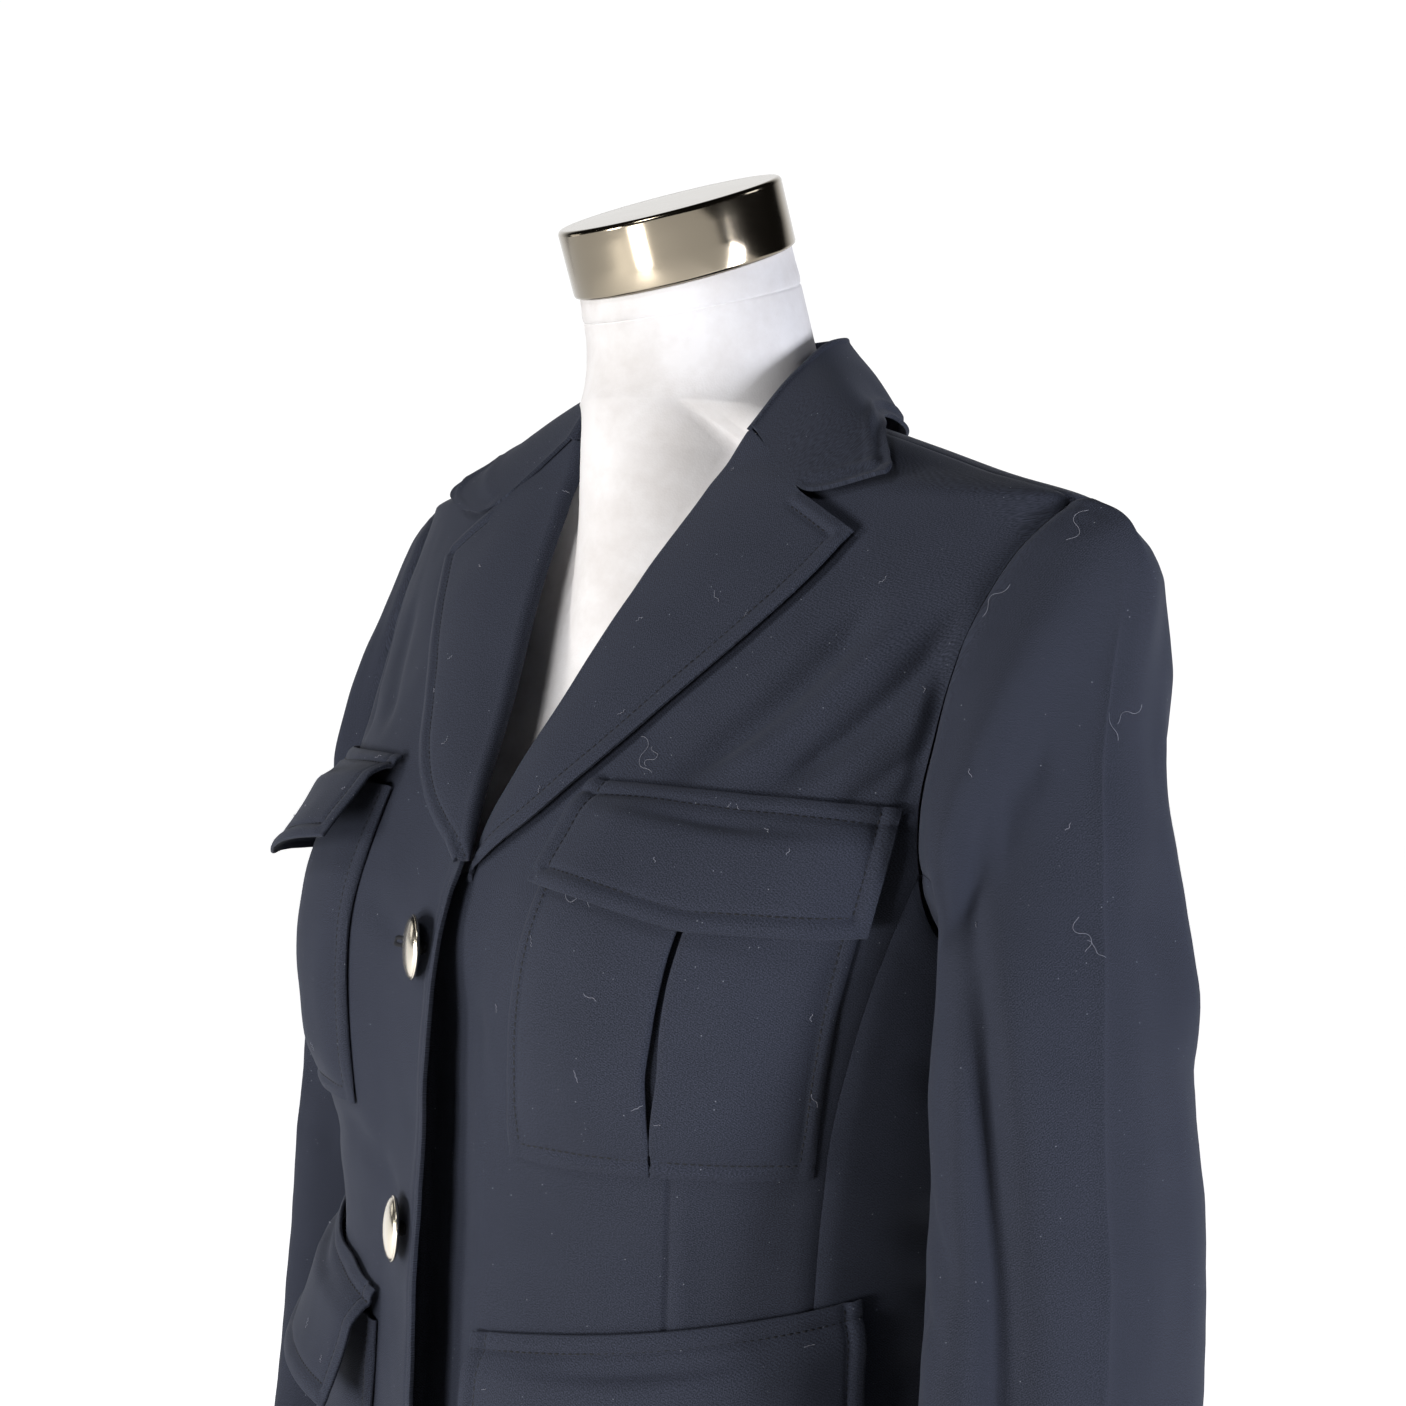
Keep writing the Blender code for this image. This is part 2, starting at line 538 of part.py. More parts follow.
def make_flap(side, name, flap, flare, parent):
    """A pointed flap: sewn at its top edge, over the bag's mouth and flaring at its lower edge."""
    def place(u, v):
        inner, middle, outer = flap["depth"]
        depth = np.where(u < 0.5, mix(inner, middle, u * 2), mix(middle, outer, u * 2 - 1))
        drop = mix(flap["top"][0], flap["top"][1], u) + depth * (1 - v)
        angle = np.radians(mix(flap["inner"], flap["outer"], u))
        down = 1 - v
        lift = FLAP_SEAT + FLAP_SWELL * ease(down * 3.0) + (flare - FLAP_SWELL) * down ** 1.5
        return mirrored(side, over_body(angle, drop, lift))

    rows = [0.0, 0.25, 0.5, 0.7, 0.8, 0.9, 1.0]
    return cloth(name, place, steps(8), rows, parent, flip=side < 0, offset=0.0)


def turned(name, profile, finish, sides, parent):
    """A turned piece: its profile, in radius and height, under a Screw modifier."""
    mesh = bpy.data.meshes.new(name)
    mesh.from_pydata([(radius, 0.0, height) for radius, height in profile],
                     [(k, k + 1) for k in range(len(profile) - 1)], [])
    made = add_object(name, mesh, finish, parent)
    spin = made.modifiers.new("turn", "SCREW")
    spin.steps = sides
    spin.render_steps = sides
    spin.use_merge_vertices = True
    spin.merge_threshold = 0.0001
    spin.use_smooth_shade = True
    return made


def make_button(name, drop, parent):
    """A domed metal button on a short shank, square to the right front."""
    rim = BUTTON_RADIUS
    dome = [(rim * math.sin(a), 0.0044 + 0.0040 * math.cos(a)) for a in np.radians((0, 25, 48, 70, 90))]
    under = [(rim - 0.0005, 0.0034), (rim - 0.0020, 0.0030), (0.0030, 0.0028), (0.0030, 0.0), (0.0, 0.0)]
    made = turned(name, dome + under, METAL, 18, parent)
    angle = angle_at(BUTTON_X, drop)
    own_angle = -angle
    seat = over_body(own_angle, drop, overlap_lift(own_angle, drop) + SEAM_GAP)
    near = own_angle + 0.01
    beside = over_body(near, drop, overlap_lift(near, drop) + SEAM_GAP)
    across = Vector(mirrored(-1, seat - beside))
    made.location = Vector(mirrored(-1, seat))
    normal = across.cross(Vector((0, 0, 1)))
    made.rotation_euler = normal.to_track_quat("Z", "Y").to_euler()
    return made


def make_form(parent):
    """The form: rings inside the cloth from its flat base to the shoulders, then up the tilted neck."""
    turns = np.radians(steps(FORM_SIDES, 0, 360)[:-1])
    rings = []
    half = np.where(turns > math.pi, 2 * math.pi - turns, turns)
    half = half - FORM_FRONT_SHARE * np.sin(half)
    for drop in FORM_DROPS:
        room = smooth(FORM, "clearance", drop) + FORM_ROOM * np.abs(np.cos(half))
        ring = over_body(half, drop, -room)
        if drop == FORM_DROPS[0]:
            ring[:, 2] = 0
        ring[:, 0] *= smooth(FORM, "side", drop) * np.where(turns > math.pi, -1, 1)
        inside = np.clip(1 - (ring[:, 0] / THROAT_HALF_WIDTH) ** 2, 0, 1)
        throat = -smooth(THROAT, "depth", drop) * np.sqrt(inside)
        in_front = (np.cos(half) > 0) & (drop < THROAT["drop"][-1])
        ring[:, 1] = np.where(in_front, np.minimum(ring[:, 1], throat), ring[:, 1])
        rings.append(ring)
    tilt = Vector((0, -math.sin(NECK_TILT), math.cos(NECK_TILT)))
    top = CAP_TOP - tilt * (CAP_HEIGHT + SEAM_GAP)
    start = Vector((0, 0, NECK_POINT))
    for share in NECK["step"]:
        centre = start.lerp(top, share)
        lean = NECK_TILT * share
        ahead = np.cos(turns)
        reach = np.where(ahead > 0, smooth(NECK, "front", share, "step"), smooth(NECK, "back", share, "step"))
        deep = ahead * reach
        ring = np.stack([smooth(NECK, "radius", share, "step") * np.sin(turns), -deep * math.cos(lean),
                         -deep * math.sin(lean)], axis=-1) + np.array(centre)
        rings.append(ring)
    bm = bmesh.new()
    loops = [[bm.verts.new(point) for point in ring] for ring in rings]
    for lower, upper in zip(loops, loops[1:]):
        for k in range(FORM_SIDES):
            following = (k + 1) % FORM_SIDES
            bm.faces.new((lower[k], lower[following], upper[following], upper[k]))
    bm.faces.new(loops[0][::-1])
    bm.faces.new(loops[-1])
    mesh = bpy.data.meshes.new("dress_form")
    bm.to_mesh(mesh)
    bm.free()
    mesh.shade_smooth()
    mesh.set_sharp_from_angle(angle=math.radians(50))
    return add_object("dress_form", mesh, JERSEY, parent)


def make_cap(parent):
    """The metal cap on the neck: a band with a rounded top edge, closed on top and below."""
    r, h, e = CAP_RADIUS, CAP_HEIGHT, 0.0022
    corner = [(r - e + e * math.sin(a), h - e + e * math.cos(a)) for a in np.radians((0, 30, 60, 90))]
    profile = [(0.0, h)] + corner + [(r, 0.0006), (r - 0.0006, 0.0), (0.0, 0.0)]
    made = turned("neck_cap", profile, METAL, 36, parent)
    tilt = Vector((0, -math.sin(NECK_TILT), math.cos(NECK_TILT)))
    made.location = CAP_TOP - tilt * CAP_HEIGHT
    made.rotation_euler = (NECK_TILT, 0, 0)
    return made


def main():
    for old in list(bpy.data.objects):
        bpy.data.objects.remove(old, do_unlink=True)
    collection = bpy.data.collections.new("field_blazer")
    bpy.context.scene.collection.children.link(collection)
    root = bpy.data.objects.new("field_blazer_root", None)
    collection.objects.link(root)
    make_form(root)
    make_cap(root)
    for side, word in ((1, "left"), (-1, "right")):
        make_front(side, f"front_{word}", root)
        make_side(side, f"side_{word}", root)
        make_back(side, f"back_{word}", root)
        behind = (1 - back_cap()) * (UNDER_SLEEVE[1] - 1.0)
        upper = np.concatenate([behind, steps(10, 0.0, UNDER_SLEEVE[0])[1:]])
        make_sleeve(side, f"sleeve_upper_{word}", upper, root)
        make_sleeve(side, f"sleeve_under_{word}", steps(6, *UNDER_SLEEVE), root)
        make_lapel(side, f"lapel_{word}", root)
        make_pocket(side, f"chest_pocket_{word}", CHEST_POCKET, root)
        make_flap(side, f"chest_flap_{word}", CHEST_FLAP, FLAP_FLARE[word], root)
        make_pocket(side, f"hip_pocket_{word}", HIP_POCKET, root)
        make_flap(side, f"hip_flap_{word}", HIP_FLAP, FLAP_FLARE[word], root)
    make_collar(root)
    for number, drop in enumerate(BUTTON_DROPS, 1):
        make_button(f"button_{number}", drop, root)


main()
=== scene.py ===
"""The looks of a woman's navy field blazer on a limbless dress form.

Metres, +Z up, +X to the wearer's left, -Y to the front. Heights are drops below the neck point.
Angles run round the body from the centre front, in degrees in the tables and in radians elsewhere.
"""

import math

import bpy
import numpy as np
from mathutils import Matrix, Vector


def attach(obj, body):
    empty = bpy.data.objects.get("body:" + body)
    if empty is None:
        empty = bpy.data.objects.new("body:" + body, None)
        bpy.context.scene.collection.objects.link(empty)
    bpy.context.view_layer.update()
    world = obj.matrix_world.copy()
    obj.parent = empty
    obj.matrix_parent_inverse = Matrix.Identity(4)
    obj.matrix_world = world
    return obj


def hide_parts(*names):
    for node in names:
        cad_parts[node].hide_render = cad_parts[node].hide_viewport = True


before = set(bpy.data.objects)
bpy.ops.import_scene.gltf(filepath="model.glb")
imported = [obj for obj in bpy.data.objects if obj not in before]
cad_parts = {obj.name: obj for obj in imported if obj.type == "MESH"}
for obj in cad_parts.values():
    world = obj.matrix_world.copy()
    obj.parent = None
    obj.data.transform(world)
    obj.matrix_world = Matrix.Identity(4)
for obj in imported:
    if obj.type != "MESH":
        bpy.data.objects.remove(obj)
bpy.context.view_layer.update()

# Camera, set where the photograph was taken from
PHOTO_SIDE = 1406
FOCAL_PIXELS = 2220
CAMERA_YAW = math.radians(47.3)
CAMERA_PITCH = math.radians(1.03)
CAMERA_ROLL = math.radians(3.3)
CAMERA_DISTANCE = 1.0
CAMERA_AIM_SIDE = -0.0025
CAMERA_AIM_DROP = 0.1281

# Driving dimensions
NECK_POINT = 0.700
LENGTH = 0.650
WALL = 0.0018
THIN_WALL = 0.0011
SEAM_ANGLE_GAP = 0.0003
SHOULDER_GAP = 0.0008
FRONT_EDGE_X = 0.012
UNDER_EDGE_X = -0.012
BUTTON_X = -0.006
OVERLAP_START_X = 0.034
OVERLAP_TOP_DROP = 0.110
BREAK_DROP = 0.197
BUTTON_DROPS = (0.233, 0.348, 0.463)
BUTTON_RADIUS = 0.0135
BUTTON_TURNS = (20.0, 9.5, 8.0)
NECK_TILT = math.radians(23.5)
CAP_TOP = Vector((0.0, -0.041, NECK_POINT + 0.0895))
CAP_RADIUS = 0.0502
CAP_HEIGHT = 0.030
CAP_AXIS = Vector((0.0, -math.sin(NECK_TILT), math.cos(NECK_TILT)))

# Sewing: the stitches, how far in from its edge each row runs, and how rows and seams press the cloth
STITCH_PITCH = 0.0030
STITCH_LENGTH = 0.0023
STITCH_WIDTH = 0.00075
EDGE_STITCH = 0.0070
FLAP_STITCH = 0.0078
BAG_STITCH = 0.0062
FLAP_TOP_STITCH = 0.0070
CHANNEL_DEPTH = 0.00085
CHANNEL_WIDTH = 0.0013
EDGE_ROLL = 0.0008
SEAM_SINK = 0.0006
SEAM_SINK_WIDTH = 0.0020
SEAM_SWELL = 0.00025
SEAM_SWELL_IN = 0.0075
SEAM_SWELL_WIDTH = 0.0040
SEAM_TURNING = 0.0026
DART_SINK = 0.0011
DART_SWELL = 0.0006
UNDERLAP_SINK = 0.0045
BUTTONHOLE_LENGTH = 0.025
BUTTONHOLE_HALF_WIDTH = 0.0013
BUTTONHOLE_BORDER = 0.0012
BUTTONHOLE_LOOPS = 96

# How far the right front's edge stands off the left front
OVERLAP = {
    "drop": (0.150, 0.197, 0.240, 0.300, 0.400, 0.650),
    "lift": (0.0050, 0.0080, 0.0100, 0.0130, 0.0140, 0.0110),
}

# The cloth's outer sections: depths to the front and back, and how square each one is
SECTIONS = {
    "drop": (0.000, 0.013, 0.027, 0.040, 0.080, 0.130, 0.180,
             0.235, 0.300, 0.360, 0.410, 0.470, 0.550, 0.700),
    "half_width": (0.066, 0.112, 0.158, 0.202, 0.203, 0.198, 0.188,
                   0.177, 0.166, 0.156, 0.155, 0.166, 0.180, 0.187),
    "front": (0.040, 0.042, 0.046, 0.054, 0.079, 0.105, 0.127,
              0.138, 0.140, 0.140, 0.140, 0.140, 0.141, 0.141),
    "back": (0.056, 0.063, 0.071, 0.080, 0.100, 0.113, 0.115,
             0.110, 0.101, 0.096, 0.098, 0.108, 0.122, 0.130),
    "fullness": (2.10, 2.10, 2.10, 2.10, 2.30, 2.50, 2.50,
                 2.40, 2.30, 2.20, 2.20, 2.20, 2.20, 2.20),
}
BUST = {"x": 0.092, "drop": 0.240, "depth": 0.020, "across": 0.062, "above": 0.070, "below": 0.085}

# Cut lines
SIDE_DROP = 0.185
SHOULDER_SHARE = 0.5
SHOULDER_ANGLE = 86.0
GORGE_X = 0.0585
GORGE_DROP = 0.013
ARMPIT_ROW = 0.6
NECK_ROW = 0.90
ARMHOLE = {
    "along": (0.00, 0.08, 0.16, 0.27, 0.39, 0.50, 0.58, 0.65, 0.72, 0.80, 0.89, 0.95, 1.00),
    "angle": (86.0, 77.0, 70.0, 65.5, 67.0, 72.0, 80.0, 90.0, 101.0, 112.0, 118.0, 108.0, 86.0),
    "drop": (0.0405, 0.050, 0.066, 0.100, 0.145, 0.185, 0.212, 0.222, 0.212, 0.185, 0.125, 0.062, 0.0405),
}
FRONT_SEAM_ALONG = 0.50
BACK_SEAM_ALONG = 0.80
FRONT_SEAM = {"drop": (0.185, 0.240, 0.300, 0.360, 0.700), "angle": (72.0, 69.0, 67.0, 67.5, 66.0)}
BACK_SEAM = {"drop": (0.185, 0.240, 0.300, 0.400, 0.700), "angle": (112.0, 116.0, 118.0, 120.0, 117.0)}
DART_ANGLE = math.radians(44.6)
DART_ENDS = (0.225, 0.405)

# Lapels, in front view: where the outer edge and the top edge run
LAPEL_EDGE = {
    "along": (0.0, 0.16, 0.30, 0.45, 0.86, 1.0),
    "x": (0.0135, 0.0450, 0.0610, 0.0790, 0.1230, 0.1335),
    "drop": (0.1990, 0.1755, 0.1580, 0.1355, 0.0775, 0.0570),
}
NOTCH_X = 0.103
NOTCH_DROP = 0.0420
NOTCH_SHARE = 0.58
LAPEL_LIFT = 0.0058
LAPEL_ROLL_LIFT = 0.0034
LAPEL_WRAP = 0.0044
GORGE_GAP = 0.0002

# Collar, from the centre back to the front end: neck seam, roll and outer edge
COLLAR_INSET = 0.965
COLLAR_SEAM_RISE = 0.0014
COLLAR_LIFT = 0.0054
COLLAR_BULGE = 0.0030
COLLAR = {
    "along": (0.00, 0.25, 0.50, 0.75, 1.00),
    "seam_angle": (180.0, 145.0, 100.0, 60.0, 31.0),
    "seam_drop": (0.000, 0.000, 0.000, 0.004, 0.0135),
    "roll_x": (0.000, 0.034, 0.054, 0.061, 0.0580),
    "roll_y": (0.047, 0.038, 0.010, -0.018, -0.0400),
    "roll_rise": (0.038, 0.037, 0.031, 0.014, -0.0117),
    "edge_angle": (180.0, 148.0, 108.0, 71.0, 45.0),
    "edge_drop": (0.018, 0.0105, 0.0055, 0.0150, 0.0355),
}
COLLAR_KNOTS = (0.0, 0.40, 0.45, 0.50, 0.75, 1.0)
# The right lapel has settled lower on the chest than the left one, and rolls over more of its width.
# The collar's right end goes with it.
RIGHT_SETTLE = {"along": (0.0, 0.3, 0.6, 0.85, 1.0), "narrower": (1.0, 0.86, 0.74, 0.74, 0.78),
                "lower": (0.0, 0.001, 0.005, 0.0085, 0.0100)}
RIGHT_COLLAR = {"turn": 8.0, "lower": 0.0115, "corner_lower": 0.0058, "corner_share": 0.78}

# Sleeves: an ellipse at each drop, and the angle round the arm that each part of the armhole feeds
SLEEVE = {
    "drop": (0.150, 0.250, 0.340, 0.420, 0.520, 0.620),
    "x": (0.1960, 0.2135, 0.2145, 0.2155, 0.2200, 0.2255),
    "y": (0.005, 0.000, 0.007, 0.008, 0.003, -0.004),
    "thick": (0.0310, 0.0340, 0.0395, 0.0400, 0.0380, 0.0340),
    "wide": (0.0410, 0.0630, 0.0700, 0.0710, 0.0660, 0.0560),
}
SLEEVE_FEED = {"along": (0.0, 0.27, 0.65, 0.89, 1.0), "round": (0.0, 82.0, 180.0, 262.0, 360.0)}
SLEEVE_END = 0.620
UNDER_SLEEVE = (0.50, 0.80)
SLEEVE_GAP = 0.0004
CAP_ROW = 0.55
CAP_DROP = 0.2100
CAP_DROP_SWING = 0.0600
HEAD_HANDLE = 0.48
ARM_HANDLE = 0.60
HEAD_FRONT = math.radians(128)
HEAD_FRONT_WIDTH = math.radians(34)
HEAD_FRONT_LEAN = (-0.15, -0.75, 0.10)
# Where round the arm the hollow down the sleeve's front runs, and the pressed line on its outer side
FRONT_TROUGH = {
    "drop": (0.12, 0.16, 0.19, 0.23, 0.29, 0.37, 0.64),
    "round": (112.0, 109.0, 99.0, 82.0, 67.0, 59.0, 55.0),
}
TROUGH_DEPTH = 0.0110
TROUGH_WIDTH = 0.0112
PRESSED_CREASE = {"drop": (0.08, 0.16, 0.35, 0.62), "round": (17.0, 21.0, 22.0, 24.0)}
PRESSED_HEIGHT = 0.0022
PRESSED_WIDTH = 0.0034

# Pockets and flaps: angles and drops of their inner and outer sides
CHEST_POCKET = {
    "width": 0.125, "inner": 19.2, "outer": 64.8,
    "top": (0.1720, 0.1720), "bottom": (0.3060, 0.3035),
}
CHEST_FLAP = {
    "inner": 19.3, "outer": 65.6,
    "top": (0.1590, 0.1600), "depth": (0.042, 0.052, 0.048),
}
HIP_POCKET = {
    "width": 0.165, "inner": 13.0, "outer": 74.0,
    "top": (0.3950, 0.3680), "bottom": (0.5650, 0.5480),
}
HIP_FLAP = {
    "inner": 12.4, "outer": 75.0,
    "top": (0.3810, 0.3530), "depth": (0.048, 0.060, 0.050),
}
POCKET_HEIGHTS = {"low": 0.0016, "middle": 0.0040, "high": 0.0064}
PLEAT_DEPTH = 0.014
PLEAT_OPENING = {"up": (0.0, 0.12, 0.30, 0.50, 1.0), "half": (0.00025, 0.0003, 0.0024, 0.0014, 0.0010)}
BAG_EDGE_HEIGHT = 0.0010
FLAP_SEAT = 0.0018
FLAP_SWELL = 0.0088
FLAP_FLARE = {"left": 0.0125, "right": 0.0225}

# The form keeps this clearance inside the cloth, and its side is drawn in at the arms
FORM = {
    "drop": (0.013, 0.030, 0.045, 0.080, 0.130, 0.180, 0.240, 0.300, 0.370, 0.450, 0.550, 0.700),
    "clearance": (0.0046, 0.0038, 0.0034, 0.008, 0.013, 0.012, 0.009, 0.017, 0.022, 0.020, 0.018, 0.018),
    "side": (1.00, 1.00, 0.94, 0.86, 0.85, 0.87, 0.93, 0.96, 0.96, 0.97, 0.98, 0.98),
}
FORM_ROOM = 0.009
FORM_FRONT_SHARE = 0.35
FORM_SIDES = 144
NECK = {
    "step": (0.0, 0.15, 0.35, 0.65, 1.0),
    "radius": (0.0540, 0.0525, 0.0510, 0.0490, 0.0480),
    "front": (0.0720, 0.0660, 0.0590, 0.0520, 0.0480),
    "back": (0.0430, 0.0430, 0.0450, 0.0470, 0.0480),
}
THROAT_HALF_WIDTH = 0.049
THROAT = {
    "drop": (0.000, 0.020, 0.045, 0.080, 0.110),
    "depth": (0.073, 0.072, 0.071, 0.073, 0.075),
}
COVER_HEM = 0.0135
COVER_SEAM = math.radians(104)

# The radii that turn an angle round the body or the arm into a distance on the cloth
BODY_FLAT_RADIUS = 0.165
SLEEVE_FLAT_RADIUS = 0.052

# Creases on the body, each a soft trough (height below 0) or ridge: side (1 left, -1 right, 0 both),
# start angle and drop, end angle and drop, bow, width and height
BODY_CREASES = (
    (1, 29, 0.160, 50, 0.078, 0.003, 0.0092, -0.0066),
    (1, 35, 0.162, 56, 0.082, 0.003, 0.0075, 0.0026),
    (1, 42, 0.162, 66, 0.080, 0.004, 0.0095, -0.0064),
    (1, 23, 0.142, 40, 0.088, 0.002, 0.0090, 0.0012),
    (1, 50, 0.158, 66, 0.112, 0.002, 0.0070, 0.0016),
    (1, 66, 0.172, 63, 0.096, 0.002, 0.0080, -0.0026),
    (1, 54, 0.165, 67, 0.130, 0.002, 0.0065, -0.0018),
    (1, 17, 0.322, 62, 0.349, 0.006, 0.0100, -0.0014),
    (1, 10, 0.345, 34, 0.362, -0.004, 0.0070, -0.0012),
    (1, 14, 0.320, 9, 0.245, 0.003, 0.0060, -0.0012),
    (1, 1, 0.215, 3, 0.560, 0.002, 0.0120, -0.0045),
    (-1, 30, 0.152, 47, 0.083, 0.004, 0.0085, -0.0028),
    (-1, 41, 0.158, 62, 0.082, 0.006, 0.0090, -0.0033),
    (-1, 65, 0.170, 62, 0.098, 0.002, 0.0080, -0.0022),
    (-1, 4, 0.350, 33, 0.381, 0.004, 0.0075, -0.0022),
    (-1, 3, 0.344, 28, 0.314, -0.004, 0.0075, -0.0020),
    (-1, 5, 0.236, 17, 0.214, 0.002, 0.0060, -0.0016),
    (-1, 15, 0.318, 60, 0.343, -0.005, 0.0110, -0.0016),
    (0, 78, 0.255, 114, 0.300, 0.005, 0.0090, -0.0026),
    (0, 76, 0.322, 116, 0.352, -0.005, 0.0080, -0.0028),
    (0, 80, 0.352, 122, 0.345, 0.004, 0.0070, -0.0020),
    (0, 79, 0.385, 112, 0.372, 0.003, 0.0090, -0.0016),
    (1, 140, 0.078, 126, 0.225, 0.006, 0.0110, -0.0034),
    (-1, 138, 0.085, 127, 0.210, 0.008, 0.0120, -0.0031),
    (1, 128, 0.100, 121, 0.170, 0.003, 0.0080, -0.0020),
    (-1, 170, 0.110, 161, 0.280, 0.004, 0.0140, -0.0014),
    (1, 124, 0.337, 168, 0.362, 0.006, 0.0100, -0.0028),
    (-1, 126, 0.342, 163, 0.352, 0.004, 0.0090, -0.0026),
    (0, 122, 0.374, 158, 0.346, 0.004, 0.0080, -0.0020),
    (1, 150, 0.430, 141, 0.635, 0.004, 0.0170, -0.0022),
    (-1, 147, 0.425, 152, 0.630, 0.005, 0.0180, -0.0020),
)

# Creases on the sleeves, in the same columns, with the angle round the arm in place of the body angle
SLEEVE_CREASES = (
    (0, 100, 0.290, 94, 0.660, 0.001, 0.0120, 0.0024),
    (0, -47, 0.108, -47, 0.262, 0.000, 0.0260, 0.0056),
    (0, -2, 0.070, -4, 0.200, 0.000, 0.0300, 0.0040),
    (0, 124, 0.150, 134, 0.300, 0.000, 0.0240, 0.0040),
    (0, -10, 0.135, -14, 0.420, 0.002, 0.0120, -0.0012),
    (0, 84, 0.185, 50, 0.150, 0.003, 0.0080, -0.0018),
    (1, 128, 0.300, 84, 0.335, 0.003, 0.0080, -0.0024),
    (1, 128, 0.345, 88, 0.352, 0.002, 0.0065, -0.0020),
    (-1, 132, 0.310, 86, 0.338, 0.003, 0.0080, -0.0024),
    (-1, 126, 0.360, 82, 0.352, 0.003, 0.0070, -0.0020),
    (0, 250, 0.215, 215, 0.290, 0.004, 0.0090, -0.0024),
    (1, 292, 0.180, 262, 0.300, 0.004, 0.0110, -0.0018),
    (-1, 288, 0.190, 265, 0.280, 0.005, 0.0110, -0.0019),
    (0, 236, 0.430, 290, 0.560, 0.004, 0.0120, -0.0014),
    (0, 150, 0.470, 200, 0.545, 0.004, 0.0100, -0.0016),
)

# Long fibres that the photograph shows: piece, place across and up it, length and curl
FIBRES = (
    ("blazer_front_left", 0.295, 0.678, 0.024, 2.6),
    ("blazer_front_left", 0.322, 0.674, 0.015, 4.4),
    ("blazer_sleeve_upper_left", 0.673, 0.960, 0.018, 2.2),
    ("blazer_sleeve_upper_left", 0.577, 0.933, 0.020, 3.0),
    ("blazer_sleeve_upper_left", 0.310, 0.640, 0.022, 1.6),
    ("blazer_sleeve_upper_left", 0.330, 0.655, 0.016, 2.2),
    ("blazer_sleeve_upper_left", 0.538, 0.560, 0.020, 3.6),
    ("blazer_sleeve_upper_left", 0.510, 0.552, 0.010, 1.4),
    ("chest_pocket_bag_left", 0.154, 0.700, 0.020, 2.4),
    ("chest_pocket_bag_left", 0.269, 0.500, 0.006, 1.2),
    ("chest_pocket_bag_left", 0.940, 0.344, 0.006, 1.5),
    ("blazer_lapel_left", 0.742, 0.617, 0.007, 1.8),
)


def smooth(table, column, at, by="drop"):
    """Read a column of a table at any place, on a smooth curve that never overshoots its rows."""
    x = np.asarray(table[by], float)
    y = np.asarray(table[column], float)
    at = np.clip(np.asarray(at, float), x[0], x[-1])
    step = np.diff(x)
    rise = np.diff(y) / step
    slope = np.zeros_like(y)
    turns = rise[1:] * rise[:-1] <= 0
    total = np.where(turns, 1, rise[1:] + rise[:-1])
    slope[1:-1] = np.where(turns, 0, 2 * rise[1:] * rise[:-1] / total)
    slope[0] = rise[0]
    slope[-1] = rise[-1]
    i = np.clip(np.searchsorted(x, at, side="right") - 1, 0, len(step) - 1)
    t = (at - x[i]) / step[i]
    start = (1 + 2 * t) * (1 - t) ** 2 * y[i] + t * (1 - t) ** 2 * step[i] * slope[i]
    end = t * t * (3 - 2 * t) * y[i + 1] + t * t * (t - 1) * step[i] * slope[i + 1]
    return start + end


def mix(a, b, t):
    """From a at 0 to b at 1."""
    return a * (1 - t) + b * t


def ease(t):
    """From 0 to 1 with a soft start and end."""
    t = np.clip(t, 0, 1)
    return t * t * (3 - 2 * t)


def below_and_above(at, row):
    """How far it is up to a row, and from there to the end, each from 0 to 1."""
    return np.clip(at / row, 0, 1), np.clip((at - row) / (1 - row), 0, 1)


def bell(distance, width):
    """1 at a line and near 0 past twice the width."""
    return np.exp(-((distance / width) ** 2))


def unit(vectors):
    """The same directions at length 1."""
    return vectors / np.maximum(np.linalg.norm(vectors, axis=-1, keepdims=True), 1e-12)


def body(angle, drop):
    """The cloth's outer surface at an angle round from the centre front and a drop."""
    width = smooth(SECTIONS, "half_width", drop)
    power = 1 / smooth(SECTIONS, "fullness", drop)
    facing = np.cos(angle)
    depth = np.where(facing > 0, -smooth(SECTIONS, "front", drop), smooth(SECTIONS, "back", drop))
    x = width * np.sin(angle)
    y = depth * (facing * facing) ** power
    reach = np.where(drop < BUST["drop"], BUST["above"], BUST["below"])
    fall = bell(drop - BUST["drop"], reach)
    side = bell(np.abs(x) - BUST["x"], BUST["across"])
    y = y - BUST["depth"] * fall * side * np.clip(facing * 3, 0, 1)
    return np.stack(np.broadcast_arrays(x, y, NECK_POINT - drop), axis=-1)


def outward(angle, drop):
    """The body surface's own normal."""
    turn, fall = 0.004, 0.001
    across = body(angle + turn, drop) - body(angle - turn, drop)
    down = body(angle, drop + fall) - body(angle, drop - fall)
    return unit(np.cross(down, across))


def over_body(angle, drop, lift=0.0):
    """A point of the body moved out along its normal."""
    angle, drop, lift = np.broadcast_arrays(angle, drop, lift)
    return body(angle, drop) + lift[..., None] * outward(angle, drop)


def angle_at(x, drop):
    """The angle at which the body's section at this drop is x from the centre."""
    return np.arcsin(np.clip(x / smooth(SECTIONS, "half_width", drop), -1, 1))


def armhole(along):
    """The angle and drop of the armhole's edge, from the shoulder round the front and back up to it."""
    return np.radians(smooth(ARMHOLE, "angle", along, "along")), smooth(ARMHOLE, "drop", along, "along")


def roll_line(side, up):
    """From the break (0) to the gorge (1), as a front view x on the wearer's own side and a drop."""
    return mix(FRONT_EDGE_X * side, GORGE_X, up), mix(BREAK_DROP, GORGE_DROP, up)


